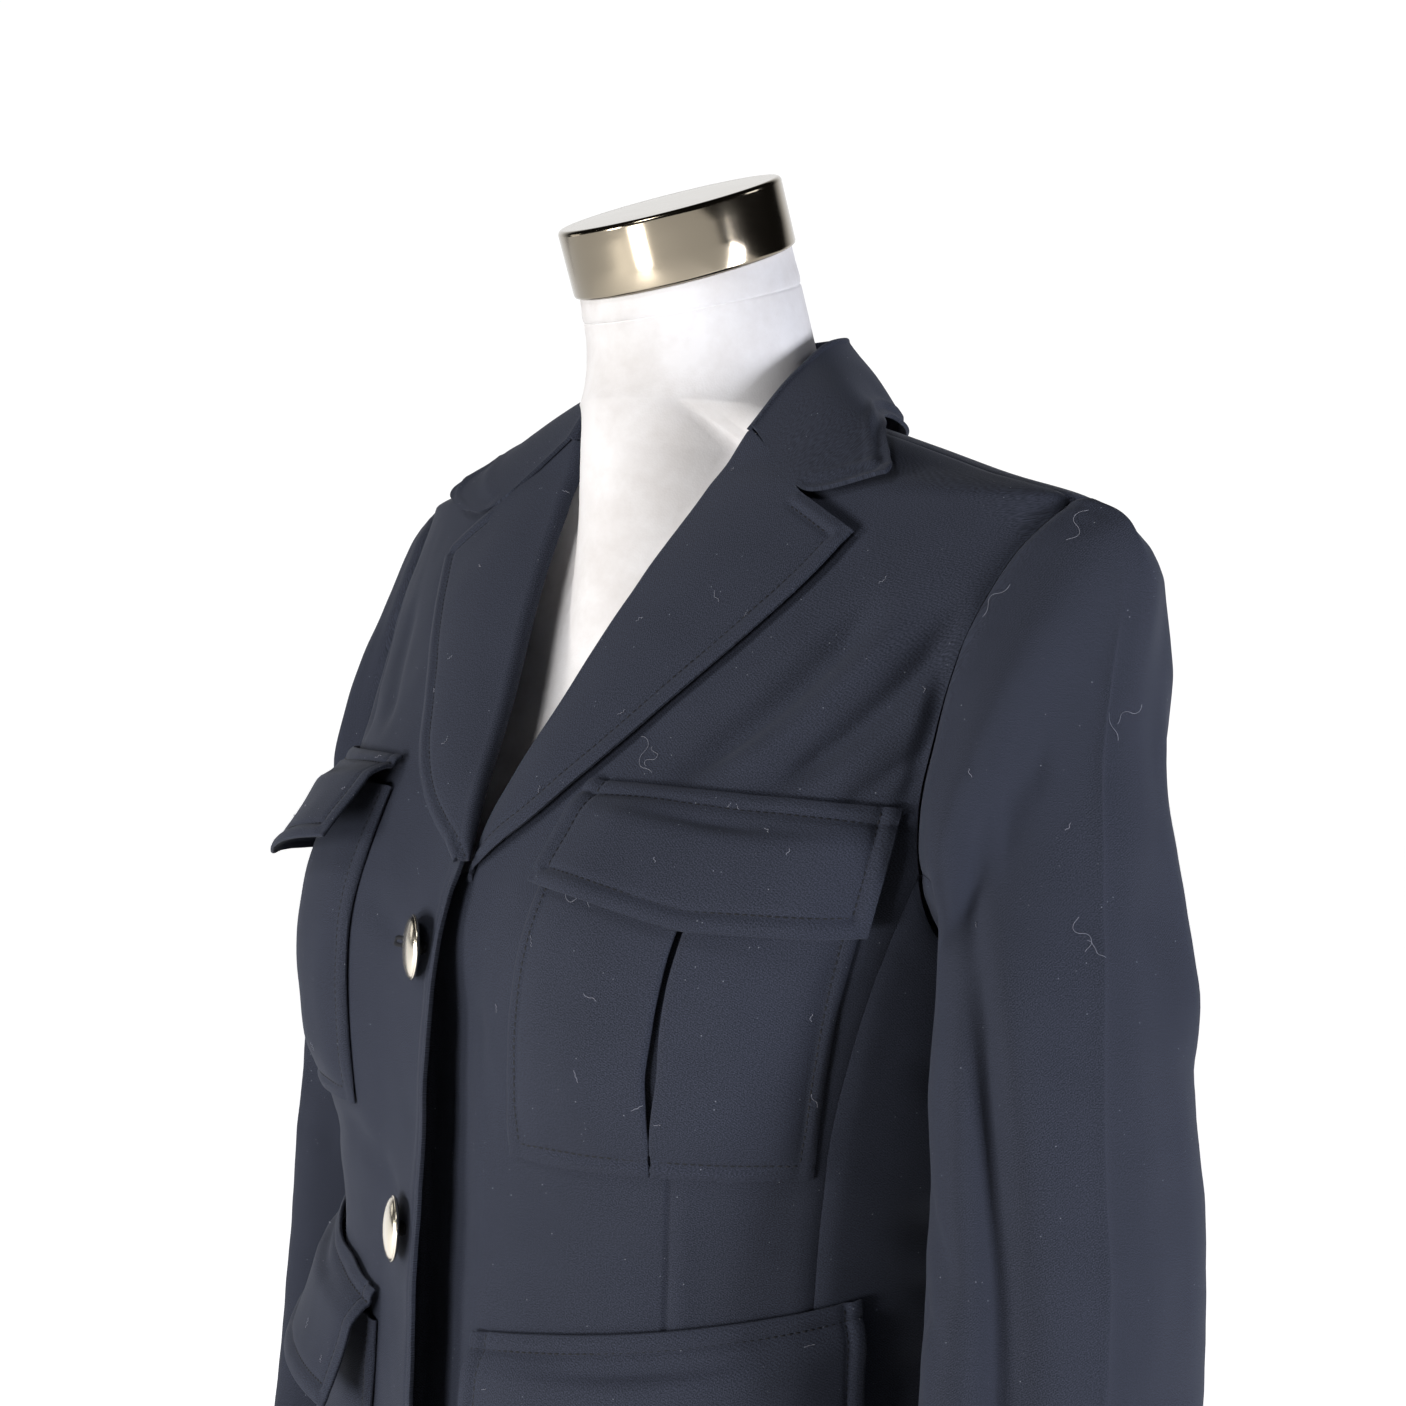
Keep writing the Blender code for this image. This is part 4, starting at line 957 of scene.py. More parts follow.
def bag_section(half_slit, width):
    """Half of a bag's cross-section, from its side seam to the middle: place across and height."""
    low, middle, high = (POCKET_HEIGHTS[key] for key in ("low", "middle", "high"))
    slit = half_slit / width
    pleat = PLEAT_DEPTH / width
    fold = 0.0011 / width
    stitched = BAG_STITCH / width
    outer = [(0.0, BAG_EDGE_HEIGHT), (0.0, BAG_EDGE_HEIGHT + 0.0007), (0.0015 / width, 0.0026),
             (stitched * 0.5, 0.0030), (stitched * 0.8, 0.0026), (stitched, 0.0023), (stitched * 1.2, 0.0027),
             (stitched * 1.7, 0.0036), (stitched * 2.6, 0.0048)]
    rise = [(mix(stitched * 2.6, 0.5 - slit - fold * 2, t), mix(0.0048, high, ease(t * 1.6))) for t in
            (0.12, 0.24, 0.36, 0.48, 0.60, 0.72, 0.82, 0.90, 0.96, 1.0)]
    fold_over = [(0.5 - slit - fold * 0.4, high - 0.0003), (0.5 - slit, (high + middle) / 2),
                 (0.5 - slit - fold * 0.4, middle + 0.0003), (0.5 - slit - fold * 2, middle)]
    under = [(0.5 - pleat, middle), (0.5 - pleat - fold, (middle + low) / 2), (0.5 - pleat, low), (0.5, low)]
    return np.array(outer + rise + fold_over + under)


def make_pocket(side, word, level, pocket):
    """A patch bag with an inverted box pleat, from the front's own points moved out."""
    width = pocket["width"]
    count = len(bag_section(0.001, width))
    columns = np.arange(2 * count - 1)
    rows = graded(64, 0.4)

    def layout(u, v):
        half = np.minimum(u, 2 * count - 2 - u).astype(int)
        sections = np.array([bag_section(smooth(PLEAT_OPENING, "half", up, "up"), width) for up in v[:, 0]])
        row = np.arange(v.shape[0])[:, None]
        across = sections[row, half, 0]
        height = sections[row, half, 1]
        across = np.where(u < count, across, 1 - across)
        from_end = np.minimum(v * (pocket["bottom"][0] - pocket["top"][0]), 0.5)
        near_bottom = mix(0.30, 1.0, ease((from_end - 0.002) / 0.022))
        near_top = mix(0.72, 1.0, ease((1 - v) * 6))
        press = np.minimum(near_bottom, near_top)
        height = BAG_EDGE_HEIGHT + (height - BAG_EDGE_HEIGHT) * press
        drop = mix(mix(pocket["bottom"][0], pocket["bottom"][1], across),
                   mix(pocket["top"][0], pocket["top"][1], across), v)
        return np.radians(mix(pocket["inner"], pocket["outer"], across)), drop, height

    def place(u, v):
        return mirrored(side, over_body(*layout(u, v)))

    def relief(u, v, edges):
        angle, drop, height = layout(u, v)
        bottom = channel(edges, ("bottom",), BAG_STITCH)
        slack = 0.0006 * ripple(angle * BODY_FLAT_RADIUS, drop, 0.045, 13 + side * 2 + len(level))
        slack = slack * ease(edges["bottom"] / 0.02) * ease((height - 0.003) / 0.003)
        return body_relief(side, angle, drop) + bottom * (height > 0.0022) + np.maximum(slack, -0.0003)

    piece = Cloth(f"{level}_pocket_bag_{word}", place, columns, rows, side, relief,
                  wall=THIN_WALL, offset=0.0)
    piece.declare(f"{level}_pocket_{word}")
    for edge in ("left", "right"):
        SEWN.run(*piece.line(edge, BAG_STITCH, keep=("bottom",)))
    top_layer = count - 8
    for shown in (columns < top_layer, columns > 2 * count - 2 - top_layer):
        piece.shown = shown
        SEWN.run(*piece.line("bottom", BAG_STITCH, keep=("left", "right")))


def make_flap(side, word, level, flap):
    """A pointed flap: sewn at its top edge, over the bag's mouth and flaring at its lower edge."""
    flare = FLAP_FLARE[word]

    def layout(u, v):
        inner, middle, outer = flap["depth"]
        from_point = np.sqrt((u - 0.5) ** 2 + 0.0001)
        depth = middle - (from_point - 0.01) * 2 * (middle - np.where(u < 0.5, inner, outer))
        drop = mix(flap["top"][0], flap["top"][1], u) + depth * (1 - v)
        down = 1 - v
        from_side = np.minimum(u, 1 - u)
        over_bag = mix(0.62, 1.0, ease(from_side / 0.22)) if side > 0 else 1.0
        lift = (FLAP_SEAT + FLAP_SWELL * ease(down * 3.0) + (flare - FLAP_SWELL) * down ** 1.5) * over_bag
        return np.radians(mix(flap["inner"], flap["outer"], u)), drop, lift

    def place(u, v):
        return mirrored(side, over_body(*layout(u, v)))

    def relief(u, v, edges):
        angle, drop, lift = layout(u, v)
        dent = -0.0034 * bell(edges["top"] - 0.0150, 0.0048) * bell(u - 0.46, 0.24)
        dent = dent + 0.0012 * bell(edges["top"] - 0.0030, 0.0032)
        seam = -0.0011 * bell(edges["top"] - FLAP_TOP_STITCH, 0.0014)
        sag = 0.0008 * ripple(u * 0.12, v * 0.05, 0.055, 17 + side * 3 + len(level)) * ease((1 - v) * 3)
        return (body_relief(side, angle, drop) * 0.8 + dent + seam + sag
                + channel(edges, ("bottom", "left", "right"), FLAP_STITCH))

    columns = with_extra(graded(58, 0.5), 0.5, 0.03, 11)
    rows = graded(36, 0.6)
    piece = Cloth(f"{level}_pocket_flap_{word}", place, columns, rows, side, relief, offset=0.0)
    piece.declare(f"{level}_flap_{word}")
    SEWN.run(*piece.line("bottom", FLAP_STITCH, keep=("left", "right")))
    for edge in ("left", "right"):
        SEWN.run(*piece.line(edge, FLAP_STITCH, keep=("bottom",)))
    SEWN.run(*piece.line("top", FLAP_TOP_STITCH))


def solid_piece(name, node, mesh, finish):
    """A piece that isn't cloth, standing for its solid."""
    mesh.shade_smooth()
    mesh.materials.append(finish)
    made = bpy.data.objects.new(name, mesh)
    bpy.context.scene.collection.objects.link(made)
    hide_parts(node)
    return made


def turned_mesh(name, profile, sides):
    """A closed mesh turned round its own Z from a profile of radius and height."""
    radius, height = np.array(profile).T
    turns = np.linspace(0, 2 * math.pi, sides, endpoint=False)
    rings = np.stack([radius[1:-1, None] * np.cos(turns), radius[1:-1, None] * np.sin(turns),
                      np.broadcast_to(height[1:-1, None], (len(radius) - 2, sides))], axis=-1)
    verts = [(0, 0, height[0])] + [tuple(p) for p in rings.reshape(-1, 3)] + [(0, 0, height[-1])]
    faces = []
    for k in range(sides):
        following = (k + 1) % sides
        faces.append((0, 1 + following, 1 + k)[::-1])
        for ring in range(len(radius) - 3):
            a = 1 + ring * sides
            faces.append((a + k, a + sides + k, a + sides + following, a + following))
        a = 1 + (len(radius) - 3) * sides
        faces.append((a + k, len(verts) - 1, a + following))
    mesh = bpy.data.meshes.new(name)
    mesh.from_pydata(verts, [], faces)
    return mesh


def make_button(number, drop):
    """A domed metal button with a rolled rim, on a short shank, square to the right front."""
    rim = BUTTON_RADIUS
    seat_height, swell, roll = 0.0046, 0.0038, 0.0006
    dome = [(rim * 0.965 * math.sin(a), seat_height + swell * math.cos(a))
            for a in np.radians(np.linspace(0, 84, 18))]
    lip = [(rim - roll + roll * math.sin(a), seat_height + roll * math.cos(a))
           for a in np.radians(np.linspace(0, 150, 6))]
    under = [(rim - 0.0009, 0.0036), (rim - 0.0025, 0.0032), (0.0032, 0.0030), (0.0030, 0.0004),
             (0.0, 0.0004)]
    angle = -angle_at(BUTTON_X, drop)
    near = angle + 0.01
    seat, beside = (over_body(at, drop, overlap_lift(at, drop) + 0.0003) for at in (angle, near))
    across = Vector(mirrored(-1, seat - beside))
    normal = across.cross(Vector((0, 0, 1)))
    normal.rotate(Matrix.Rotation(-math.radians(BUTTON_TURNS[number - 1]), 3, "Z"))
    turn = normal.to_track_quat("Z", "Y").to_matrix().to_4x4()
    mesh = turned_mesh(f"domed_button_{number}", dome + lip + under, 72)
    mesh.transform(Matrix.Translation(Vector(mirrored(-1, seat))) @ turn)
    button = solid_piece(f"domed_button_{number}", f"button_{number}", mesh, POLISHED)
    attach(button, "root")


def make_buttonhole(drop):
    """A worked buttonhole in the right front: a slit bound by close loops of thread."""
    turns = np.linspace(0, 2 * math.pi, BUTTONHOLE_LOOPS, endpoint=False)
    slit_x = np.clip(np.cos(turns) * 1.12, -1, 1) * BUTTONHOLE_LENGTH / 2
    slit_up = np.clip(np.sin(turns) * 1.6, -1, 1) * BUTTONHOLE_HALF_WIDTH
    centre = BUTTONHOLE_LENGTH / 2 - (BUTTON_X + 0.002)
    outer_share = 1 + BUTTONHOLE_BORDER / BUTTONHOLE_LENGTH * 2
    for x, up in zip(slit_x, slit_up):
        points, normals = [], []
        for across, above in ((x * 0.98, up * 0.35), (x * outer_share, up * 1.9)):
            at_drop = drop - above
            angle = angle_at(centre - across, at_drop)
            lift = overlap_lift(angle, at_drop) + body_relief(-1, angle, at_drop) + 0.0003
            points.append(np.ravel(mirrored(-1, over_body(angle, at_drop, lift))))
            normals.append(np.ravel(mirrored(-1, outward(angle, at_drop))))
        points = np.array(points) + unit(np.array(normals)) * CLOTHS["blazer_front_right"].face_height
        reach = np.linalg.norm(points[1] - points[0])
        HOLES.run(points, np.array(normals), pitch=reach * 0.3, length=reach * 0.9)


def form_ring(drop, turns):
    """One level of the form's torso, a little inside the cloth, with its throat in the open neck."""
    half = np.where(turns > math.pi, 2 * math.pi - turns, turns)
    half = half - FORM_FRONT_SHARE * np.sin(half)
    room = smooth(FORM, "clearance", drop) + FORM_ROOM * np.abs(np.cos(half))
    ring = over_body(half, np.full_like(half, drop), -room)
    ring[:, 0] *= smooth(FORM, "side", drop) * np.where(turns > math.pi, -1, 1)
    inside = np.clip(1 - (ring[:, 0] / THROAT_HALF_WIDTH) ** 2, 0, 1)
    throat = -smooth(THROAT, "depth", drop) * np.sqrt(inside)
    in_front = (np.cos(half) > 0) & (drop < THROAT["drop"][-1])
    ring[:, 1] = np.where(in_front, np.minimum(ring[:, 1], throat), ring[:, 1])
    return ring


def neck_ring(share, turns, swell):
    """One level of the form's neck, which leans forward more and more towards the cap."""
    top = CAP_TOP - CAP_AXIS * (CAP_HEIGHT + 0.0003)
    centre = Vector((0, 0, NECK_POINT)).lerp(top, share)
    lean = NECK_TILT * share
    ahead = np.cos(turns)
    reach = np.where(ahead > 0, smooth(NECK, "front", share, "step"), smooth(NECK, "back", share, "step"))
    deep = ahead * (reach + swell)
    side = (smooth(NECK, "radius", share, "step") + swell) * np.sin(turns)
    return np.stack([side, -deep * math.cos(lean), -deep * math.sin(lean)], axis=-1) + np.array(centre)


def make_form():
    """The limbless form in its jersey cover, with the cover's hem below the cap and its side seams."""
    turns = np.linspace(0, 2 * math.pi, FORM_SIDES, endpoint=False)
    drops = np.concatenate([np.linspace(0.70, 0.12, 40), np.linspace(0.12, 0.014, 40)[1:]])
    rings = [form_ring(drop, turns) for drop in drops]
    rings[0][:, 2] = 0
    seam = bell(np.abs(np.where(turns > math.pi, 2 * math.pi - turns, turns)) - COVER_SEAM, 0.016)
    hem = 1 - COVER_HEM / 0.0640
    for share in np.sort(np.concatenate([np.linspace(0, 1, 36), hem + np.linspace(-0.012, 0.012, 9)])):
        swell = -0.0005 * bell(share - hem, 0.009) + 0.0003 * bell(share - hem - 0.05, 0.04)
        swell = swell - 0.0005 * seam * ease(share / 0.3)
        rings.append(neck_ring(share, turns, swell))
    flat = np.array(rings)
    verts = [tuple(p) for p in flat.reshape(-1, 3)]
    faces = []
    for row in range(len(rings) - 1):
        a = row * FORM_SIDES
        for k in range(FORM_SIDES):
            following = (k + 1) % FORM_SIDES
            faces.append((a + k, a + following, a + FORM_SIDES + following, a + FORM_SIDES + k))
    faces.append(tuple(range(FORM_SIDES))[::-1])
    faces.append(tuple(range(len(verts) - FORM_SIDES, len(verts))))
    mesh = bpy.data.meshes.new("covered_form")
    mesh.from_pydata(verts, [], faces)
    form = solid_piece("covered_form", "dress_form", mesh, JERSEY)
    mesh.set_sharp_from_angle(angle=math.radians(60))
    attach(form, "root")


def make_cap():
    """The metal cap on the neck: a straight band with a softly rolled top edge."""
    r, h, e = CAP_RADIUS, CAP_HEIGHT, 0.0022
    top = [(0.0, h), (r * 0.45, h), (r * 0.80, h), (r - e - 0.0030, h - 0.0001)]
    corner = [(r - e + e * math.sin(a), h - e + e * math.cos(a)) for a in np.radians(np.linspace(0, 90, 10))]
    band = [(r, h * 0.7), (r, h * 0.4), (r, 0.0016), (r - 0.0003, 0.0006), (r - 0.0012, 0.0), (0.0, 0.0)]
    mesh = turned_mesh("spun_cap", top + corner + band, 128)
    mesh.transform(Matrix.Translation(CAP_TOP - CAP_AXIS * CAP_HEIGHT) @ Matrix.Rotation(NECK_TILT, 4, "X"))
    cap = solid_piece("spun_cap", "neck_cap", mesh, SATIN)
    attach(cap, "root")


def linear(code):
    """A written sRGB colour as the linear colour that a shader works in."""
    channels = [int(code[k:k + 2], 16) / 255 for k in (1, 3, 5)]
    return (*[c / 12.92 if c <= 0.04045 else ((c + 0.055) / 1.055) ** 2.4 for c in channels], 1.0)


def add(tree, kind, links=(), **settings):
    """A node with its settings, and links into its sockets from (socket name, other node, its output)."""
    made = tree.nodes.new(kind)
    for key, value in settings.items():
        if hasattr(made, key):
            setattr(made, key, value)
        else:
            made.inputs[key.replace("_", " ")].default_value = value
    for socket, other, output in links:
        tree.links.new(other.outputs[output], made.inputs[socket])
    return made


def cells(millimetres):
    """A texture's scale for cells of this size."""
    return 1000 / millimetres


def new_finish(name):
    """An empty material and its nodes."""
    made = bpy.data.materials.new(name)
    made.use_nodes = True
    made.node_tree.nodes.clear()
    return made, made.node_tree


def end_finish(tree, shader):
    """Gives a material the shader that its surface shows."""
    add(tree, "ShaderNodeOutputMaterial", [("Surface", shader, 0)])


def wool_twill():
    """Piece-dyed wool-blend twill, steam-pressed: matt navy, with a pale bloom at grazing angles from its
    loose fibre ends, a fine diagonal rib, and lint caught in the nap."""
    made, tree = new_finish("navy_wool_blend_twill_steam_pressed")
    place = add(tree, "ShaderNodeTexCoord")
    # Real ribs are 0.6 mm apart. They are drawn 0.9 mm apart here, so that they last at this picture size.
    rib = cells(0.9)
    turned = add(tree, "ShaderNodeMapping", [("Vector", place, "UV")])
    turned.inputs["Rotation"].default_value = (0, 0, math.radians(-58))
    turned.inputs["Scale"].default_value = (rib, rib, rib)
    # A wave texture of this scale repeats once in each unit.
    ribs = add(tree, "ShaderNodeTexWave", [("Vector", turned, 0)], bands_direction="X", Scale=0.3142,
               Distortion=0.6, Detail=2.0)
    # Single fibres are 0.02 mm thick. Their light and dark ends are drawn 0.5 mm across here.
    grain = add(tree, "ShaderNodeTexNoise", [("Vector", place, "UV")], Scale=cells(0.5), Detail=2.0)
    speckle = add(tree, "ShaderNodeMapRange", [("Value", grain, 0)], From_Min=0.39, From_Max=0.63)
    weave = add(tree, "ShaderNodeMix", [("A", ribs, 0), ("B", speckle, 0)], data_type="FLOAT")
    weave.inputs["Factor"].default_value = 0.78
    mottle = add(tree, "ShaderNodeTexNoise", [("Vector", place, "Object")], Scale=cells(26.32), Detail=4.0)
    tone = add(tree, "ShaderNodeValToRGB", [("Fac", mottle, 0)])
    tone.color_ramp.elements[0].position = 0.32
    tone.color_ramp.elements[0].color = linear("#171a23")
    tone.color_ramp.elements[1].position = 0.70
    tone.color_ramp.elements[1].color = linear("#1d202a")
    woven = add(tree, "ShaderNodeMixRGB", [("Color1", tone, 0), ("Fac", weave, "Result")],
                Color2=linear("#3b4050"))
    # Specks of lint lie about 4 mm apart, in patches about 16 mm wide.
    lint_cells = add(tree, "ShaderNodeTexVoronoi", [("Vector", place, "Object")], Scale=cells(4.167))
    lint = add(tree, "ShaderNodeMapRange", [("Value", lint_cells, "Distance")], From_Min=0.075, From_Max=0.03)
    patches = add(tree, "ShaderNodeTexNoise", [("Vector", place, "Object")], Scale=cells(16.393))
    kept = add(tree, "ShaderNodeMapRange", [("Value", patches, 0)], From_Min=0.52, From_Max=0.56)
    lint_here = add(tree, "ShaderNodeMath", [(0, lint, 0), (1, kept, 0)], operation="MULTIPLY")
    linted = add(tree, "ShaderNodeMixRGB", [("Color1", woven, 0), ("Fac", lint_here, 0)],
                 Color2=linear("#80848f"))
    bump = add(tree, "ShaderNodeBump", [("Height", weave, "Result")], Strength=0.22, Distance=0.0002)
    shader = add(tree, "ShaderNodeBsdfPrincipled", [("Base Color", linted, 0), ("Normal", bump, 0)],
                 Roughness=0.88, Specular_IOR_Level=0.22, Sheen_Weight=0.10, Sheen_Roughness=0.45,
                 Sheen_Tint=linear("#b4bac8"))
    end_finish(tree, shader)
    return made


def thread():
    """Spun polyester thread, twisted and dyed navy: tighter than the cloth, so it shines a little. Its tone
    is set darker than the cloth's, as painted shade of the holes and grooves the stitches sink into.
    """
    made, tree = new_finish("navy_thread_darkened_as_painted_shade")
    place = add(tree, "ShaderNodeTexCoord")
    # A real thread turns once in 0.4 mm. Its turns are drawn 1.1 mm long here.
    twist = add(tree, "ShaderNodeTexNoise", [("Vector", place, "Object")], Scale=cells(1.1111))
    # Painted shade: both tones lie below the cloth's darkest navy, so the stitches read as shadowed dashes.
    tone = add(tree, "ShaderNodeMixRGB", [("Fac", twist, 0)], Color1=linear("#0b0c11"),
               Color2=linear("#191b23"))
    shader = add(tree, "ShaderNodeBsdfPrincipled", [("Base Color", tone, 0)], Roughness=0.65,
                 Specular_IOR_Level=0.25)
    end_finish(tree, shader)
    return made


def lint_fibre():
    """Loose pale cotton fibres lying on the nap: dull, with a soft light edge."""
    made, tree = new_finish("pale_cotton_lint_loose")
    shader = add(tree, "ShaderNodeBsdfPrincipled", Base_Color=linear("#9a9cab"), Roughness=0.9,
                 Sheen_Weight=0.5)
    end_finish(tree, shader)
    return made


def jersey_cover():
    """White cotton jersey stretched over a moulded form: matt and a little handled, with a fine knit."""
    made, tree = new_finish("white_cotton_jersey_stretched")
    place = add(tree, "ShaderNodeTexCoord")
    # Real knit ribs are 0.4 mm apart. They are drawn 0.9 mm apart here.
    knit = add(tree, "ShaderNodeTexVoronoi", [("Vector", place, "Object")], Scale=cells(0.9091))
    smudge = add(tree, "ShaderNodeTexNoise", [("Vector", place, "Object")], Scale=cells(38.462), Detail=5.0,
                 Roughness=0.62)
    handled = add(tree, "ShaderNodeValToRGB", [("Fac", smudge, 0)])
    handled.color_ramp.elements[0].position = 0.34
    handled.color_ramp.elements[0].color = linear("#e6e3e4")
    handled.color_ramp.elements[1].position = 0.60
    handled.color_ramp.elements[1].color = linear("#f6f5f8")
    bump = add(tree, "ShaderNodeBump", [("Height", knit, "Distance")], Strength=0.25, Distance=0.0002)
    shader = add(tree, "ShaderNodeBsdfPrincipled", [("Base Color", handled, 0), ("Normal", bump, 0)],
                 Roughness=0.9, Specular_IOR_Level=0.2, Sheen_Weight=0.15)
    end_finish(tree, shader)
    return made


def satin_nickel():
    """Champagne nickel plate over spun steel, brushed round on the lathe: soft upright streaks of light."""
    made, tree = new_finish("champagne_nickel_plate_spun_and_brushed")
    place = add(tree, "ShaderNodeTexCoord")
    lathe = add(tree, "ShaderNodeMapping", [("Vector", place, "Object")])
    # Real lathe marks are 0.05 mm apart. They are drawn 0.45 mm apart here, and 25 mm long.
    lathe.inputs["Scale"].default_value = (cells(25), cells(25), cells(0.45455))
    marks = add(tree, "ShaderNodeTexNoise", [("Vector", lathe, 0)], Scale=1.0, Detail=3.0)
    dull = add(tree, "ShaderNodeMapRange", [("Value", marks, 0)], To_Min=0.10, To_Max=0.17)
    shader = add(tree, "ShaderNodeBsdfPrincipled", [("Roughness", dull, 0)], Base_Color=linear("#8f8677"),
                 Metallic=1.0)
    end_finish(tree, shader)
    return made


def polished_zamak():
    """Die-cast zinc, polished and plated in pale champagne nickel: smooth, with small handling marks."""
    made, tree = new_finish("champagne_nickel_plate_polished_zamak")
    place = add(tree, "ShaderNodeTexCoord")
    marks = add(tree, "ShaderNodeTexNoise", [("Vector", place, "Object")], Scale=cells(6.25), Detail=2.0)
    dull = add(tree, "ShaderNodeMapRange", [("Value", marks, 0)], To_Min=0.22, To_Max=0.25)
    shader = add(tree, "ShaderNodeBsdfPrincipled", [("Roughness", dull, 0)], Base_Color=linear("#d9d2c4"),
                 Metallic=1.0)
    end_finish(tree, shader)
    return made


def pale_floor():
    """White vinyl rolled out as a sweep: matt, with a glow of its own that burns it out to white."""
    made, tree = new_finish("white_studio_vinyl_rolled_out")
    shader = add(tree, "ShaderNodeBsdfPrincipled", Base_Color=linear("#f7f7f7"), Roughness=0.9,
                 Emission_Color=linear("#ffffff"), Emission_Strength=0.9)
    end_finish(tree, shader)
    return made


def place_lint():
    """Curled loose fibres lying on the cloth, where the photograph shows them, and a few more all round."""
    pick = np.random.default_rng(7)
    curve = bpy.data.curves.new("lint", "CURVE")
    curve.dimensions = "3D"
    curve.bevel_depth = 0.00006
    curve.bevel_resolution = 1
    strewn = [(name, pick.uniform(0.1, 0.9), pick.uniform(0.1, 0.9), pick.uniform(0.002, 0.005),
               pick.uniform(-3, 3)) for name in CLOTHS if name != "blazer_collar" for _ in range(5)]
    for name, across, up, size, curl in FIBRES + tuple(strewn):
        piece = CLOTHS[name]
        row = int(up * (piece.points.shape[0] - 1))
        column = int(across * (piece.points.shape[1] - 1))
        out = Vector(piece.normals[row, column])
        across_cloth = out.orthogonal().normalized()
        beside = out.cross(across_cloth)
        heading = pick.uniform(0, 6.28)
        at = Vector(piece.points[row, column]) + out * (0.0003 + piece.face_height)
        spline = curve.splines.new("POLY")
        steps = 23
        spline.points.add(steps)
        for k, point in enumerate(spline.points):
            heading += curl * math.sin(k * 0.33 + size * 900) / 9
            at = at + (across_cloth * math.cos(heading) + beside * math.sin(heading)) * size / steps
            point.co = (*(at + out * 0.0003 * (1 + math.sin(k * 0.7))), 1)
    made = bpy.data.objects.new("lint_fibres", curve)
    curve.materials.append(LINT)
    bpy.context.scene.collection.objects.link(made)
    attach(made, "root")


def camera_axes():
    """The photograph's own directions: right, up, and from the form towards the camera."""
    level = math.cos(CAMERA_PITCH)
    tow = Vector((math.sin(CAMERA_YAW) * level, -math.cos(CAMERA_YAW) * level, math.sin(CAMERA_PITCH)))
    right = Vector((math.cos(CAMERA_YAW), math.sin(CAMERA_YAW), 0))
    return right, tow.cross(right), tow


def place_camera():
    """The camera, where the photograph was taken from and rolled as it was."""
    right, up, tow = camera_axes()
    target = right * CAMERA_AIM_SIDE + Vector((0, 0, NECK_POINT - CAMERA_AIM_DROP))
    rolled_right = right * math.cos(CAMERA_ROLL) + up * math.sin(CAMERA_ROLL)
    rolled_up = up * math.cos(CAMERA_ROLL) - right * math.sin(CAMERA_ROLL)
    lens = bpy.data.cameras.new("photo_camera")
    lens.sensor_width = 36
    lens.lens = 36 * FOCAL_PIXELS / PHOTO_SIDE
    lens.dof.use_dof = False
    made = bpy.data.objects.new("photo_camera", lens)
    bpy.context.scene.collection.objects.link(made)
    made.matrix_world = Matrix.Translation(target + tow * CAMERA_DISTANCE) @ Matrix(
        (rolled_right, rolled_up, tow)).transposed().to_4x4()
    bpy.context.scene.camera = made


def place_light(name, sideways, upward, forward, size, power, colour):
    """A softbox, placed from the photograph's view of the form's chest and turned towards it."""
    right, up, tow = camera_axes()
    chest = Vector((0, 0, 0.45))
    lamp = bpy.data.lights.new(name, "AREA")
    lamp.shape = "RECTANGLE"
    lamp.size, lamp.size_y = size
    lamp.energy = power
    lamp.color = linear(colour)[:3]
    made = bpy.data.objects.new(name, lamp)
    bpy.context.scene.collection.objects.link(made)
    made.location = chest + right * sideways + Vector((0, 0, upward)) + tow * forward
    made.rotation_euler = (made.location - chest).to_track_quat("Z", "Y").to_euler()


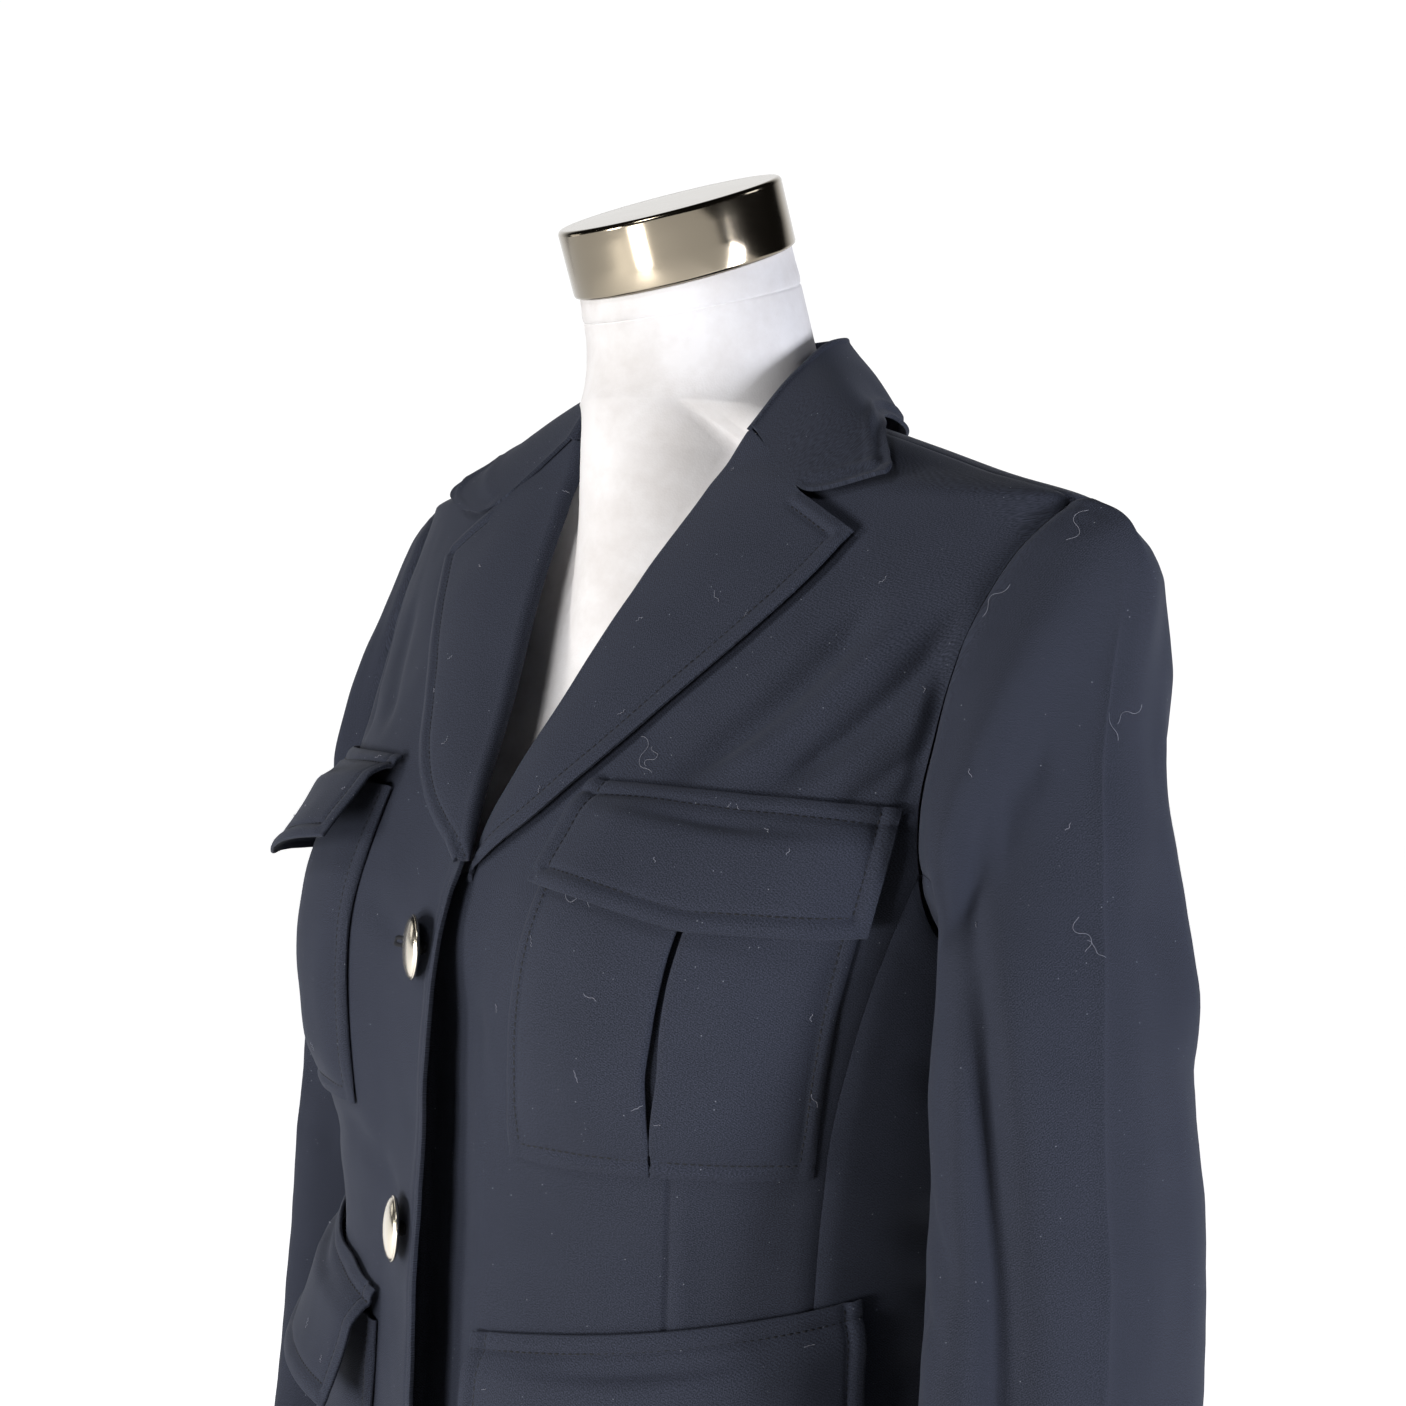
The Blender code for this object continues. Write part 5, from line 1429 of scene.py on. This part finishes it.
def light_studio():
    """White sweep behind, a darker room behind the camera, and a softbox level with the chest on each side,
    with fainter ones behind its left, high up on both sides and low in front."""
    world = bpy.data.worlds.new("studio")
    bpy.context.scene.world = world
    world.use_nodes = True
    tree = world.node_tree
    tree.nodes.clear()
    right, up, tow = camera_axes()
    place = add(tree, "ShaderNodeTexCoord")
    towards = add(tree, "ShaderNodeVectorMath", [(0, place, "Generated")], operation="DOT_PRODUCT")
    towards.inputs[1].default_value = tow
    share = add(tree, "ShaderNodeMapRange", [("Value", towards, "Value")], From_Min=-1.0, From_Max=0.0)
    room = add(tree, "ShaderNodeValToRGB", [("Fac", share, 0)])
    room.color_ramp.elements[0].position = 0.18
    room.color_ramp.elements[0].color = linear("#ffffff")
    room.color_ramp.elements[1].position = 0.40
    room.color_ramp.elements[1].color = linear("#1a1918")
    glow = add(tree, "ShaderNodeBackground", [("Color", room, 0)], Strength=1.05)
    add(tree, "ShaderNodeOutputWorld", [("Surface", glow, 0)])
    bpy.context.scene.view_settings.view_transform = "Standard"
    place_light("left_softbox", -1.47, 0.06, 0.85, (0.4, 0.5), 13.1, "#fffcf6")
    place_light("far_left_softbox", -1.72, 0.40, -0.70, (0.5, 0.6), 1.4, "#fffcf6")
    place_light("right_softbox", 1.38, -0.06, 0.80, (0.4, 0.6), 21.2, "#f6f8ff")
    place_light("upper_right_softbox", 1.45, 1.22, 0.13, (0.5, 0.5), 2.9, "#f6f8ff")
    place_light("low_softbox", -0.72, -0.28, 0.99, (0.3, 0.25), 8.3, "#fffdfa")
    place_light("high_softbox", -0.94, 1.22, 1.11, (0.4, 0.4), 7.1, "#fffdfa")


def lay_floor():
    """The studio's floor, a hair below the form's base."""
    mesh = bpy.data.meshes.new("studio_floor")
    half, low = 9, -0.0002
    corners = [(-half, -half, low), (half, -half, low), (half, half, low), (-half, half, low)]
    mesh.from_pydata(corners, [], [(0, 1, 2, 3)])
    mesh.materials.append(pale_floor())
    floor = bpy.data.objects.new("studio_floor", mesh)
    bpy.context.scene.collection.objects.link(floor)
    # A form like this stands well above a studio's floor, so this floor throws no light up under the arms.
    floor.visible_diffuse = False


NAVY = wool_twill()
THREAD = thread()
LINT = lint_fibre()
JERSEY = jersey_cover()
SATIN = satin_nickel()
POLISHED = polished_zamak()
SEWN = Sewing()
HOLES = Sewing()
CLOTHS = {}

make_form()
make_cap()
upper_alongs = np.concatenate([(UNDER_SLEEVE[1] - 1.0) * (1 - np.linspace(0, 1, 27)),
                               0.03 * np.linspace(0, 1, 6)[1:], np.linspace(0.03, 0.12, 32)[1:],
                               0.12 + 0.38 * np.linspace(0, 1, 44)[1:]])
under_alongs = mix(*UNDER_SLEEVE, graded(36))
head_rows = 1 - (1 - np.linspace(0, 1, 60)[1:]) ** 1.25
sleeve_rows = np.concatenate([CAP_ROW * np.linspace(0, 1, 92), CAP_ROW + (1 - CAP_ROW) * head_rows])
for side, word in ((1, "left"), (-1, "right")):
    make_front(side, word)
    make_side(side, word)
    make_back(side, word)
    make_sleeve(side, word, "upper", upper_alongs, sleeve_rows)
    make_sleeve(side, word, "under", under_alongs, sleeve_rows)
    make_lapel(side, word)
    make_pocket(side, word, "chest", CHEST_POCKET)
    make_flap(side, word, "chest", CHEST_FLAP)
    make_pocket(side, word, "hip", HIP_POCKET)
    make_flap(side, word, "hip", HIP_FLAP)
make_collar()
for number, drop in enumerate(BUTTON_DROPS, 1):
    make_button(number, drop)
    make_buttonhole(drop)
SEWN.finish("topstitching", THREAD)
HOLES.finish("worked_buttonholes", THREAD)
place_lint()
place_camera()
light_studio()
lay_floor()
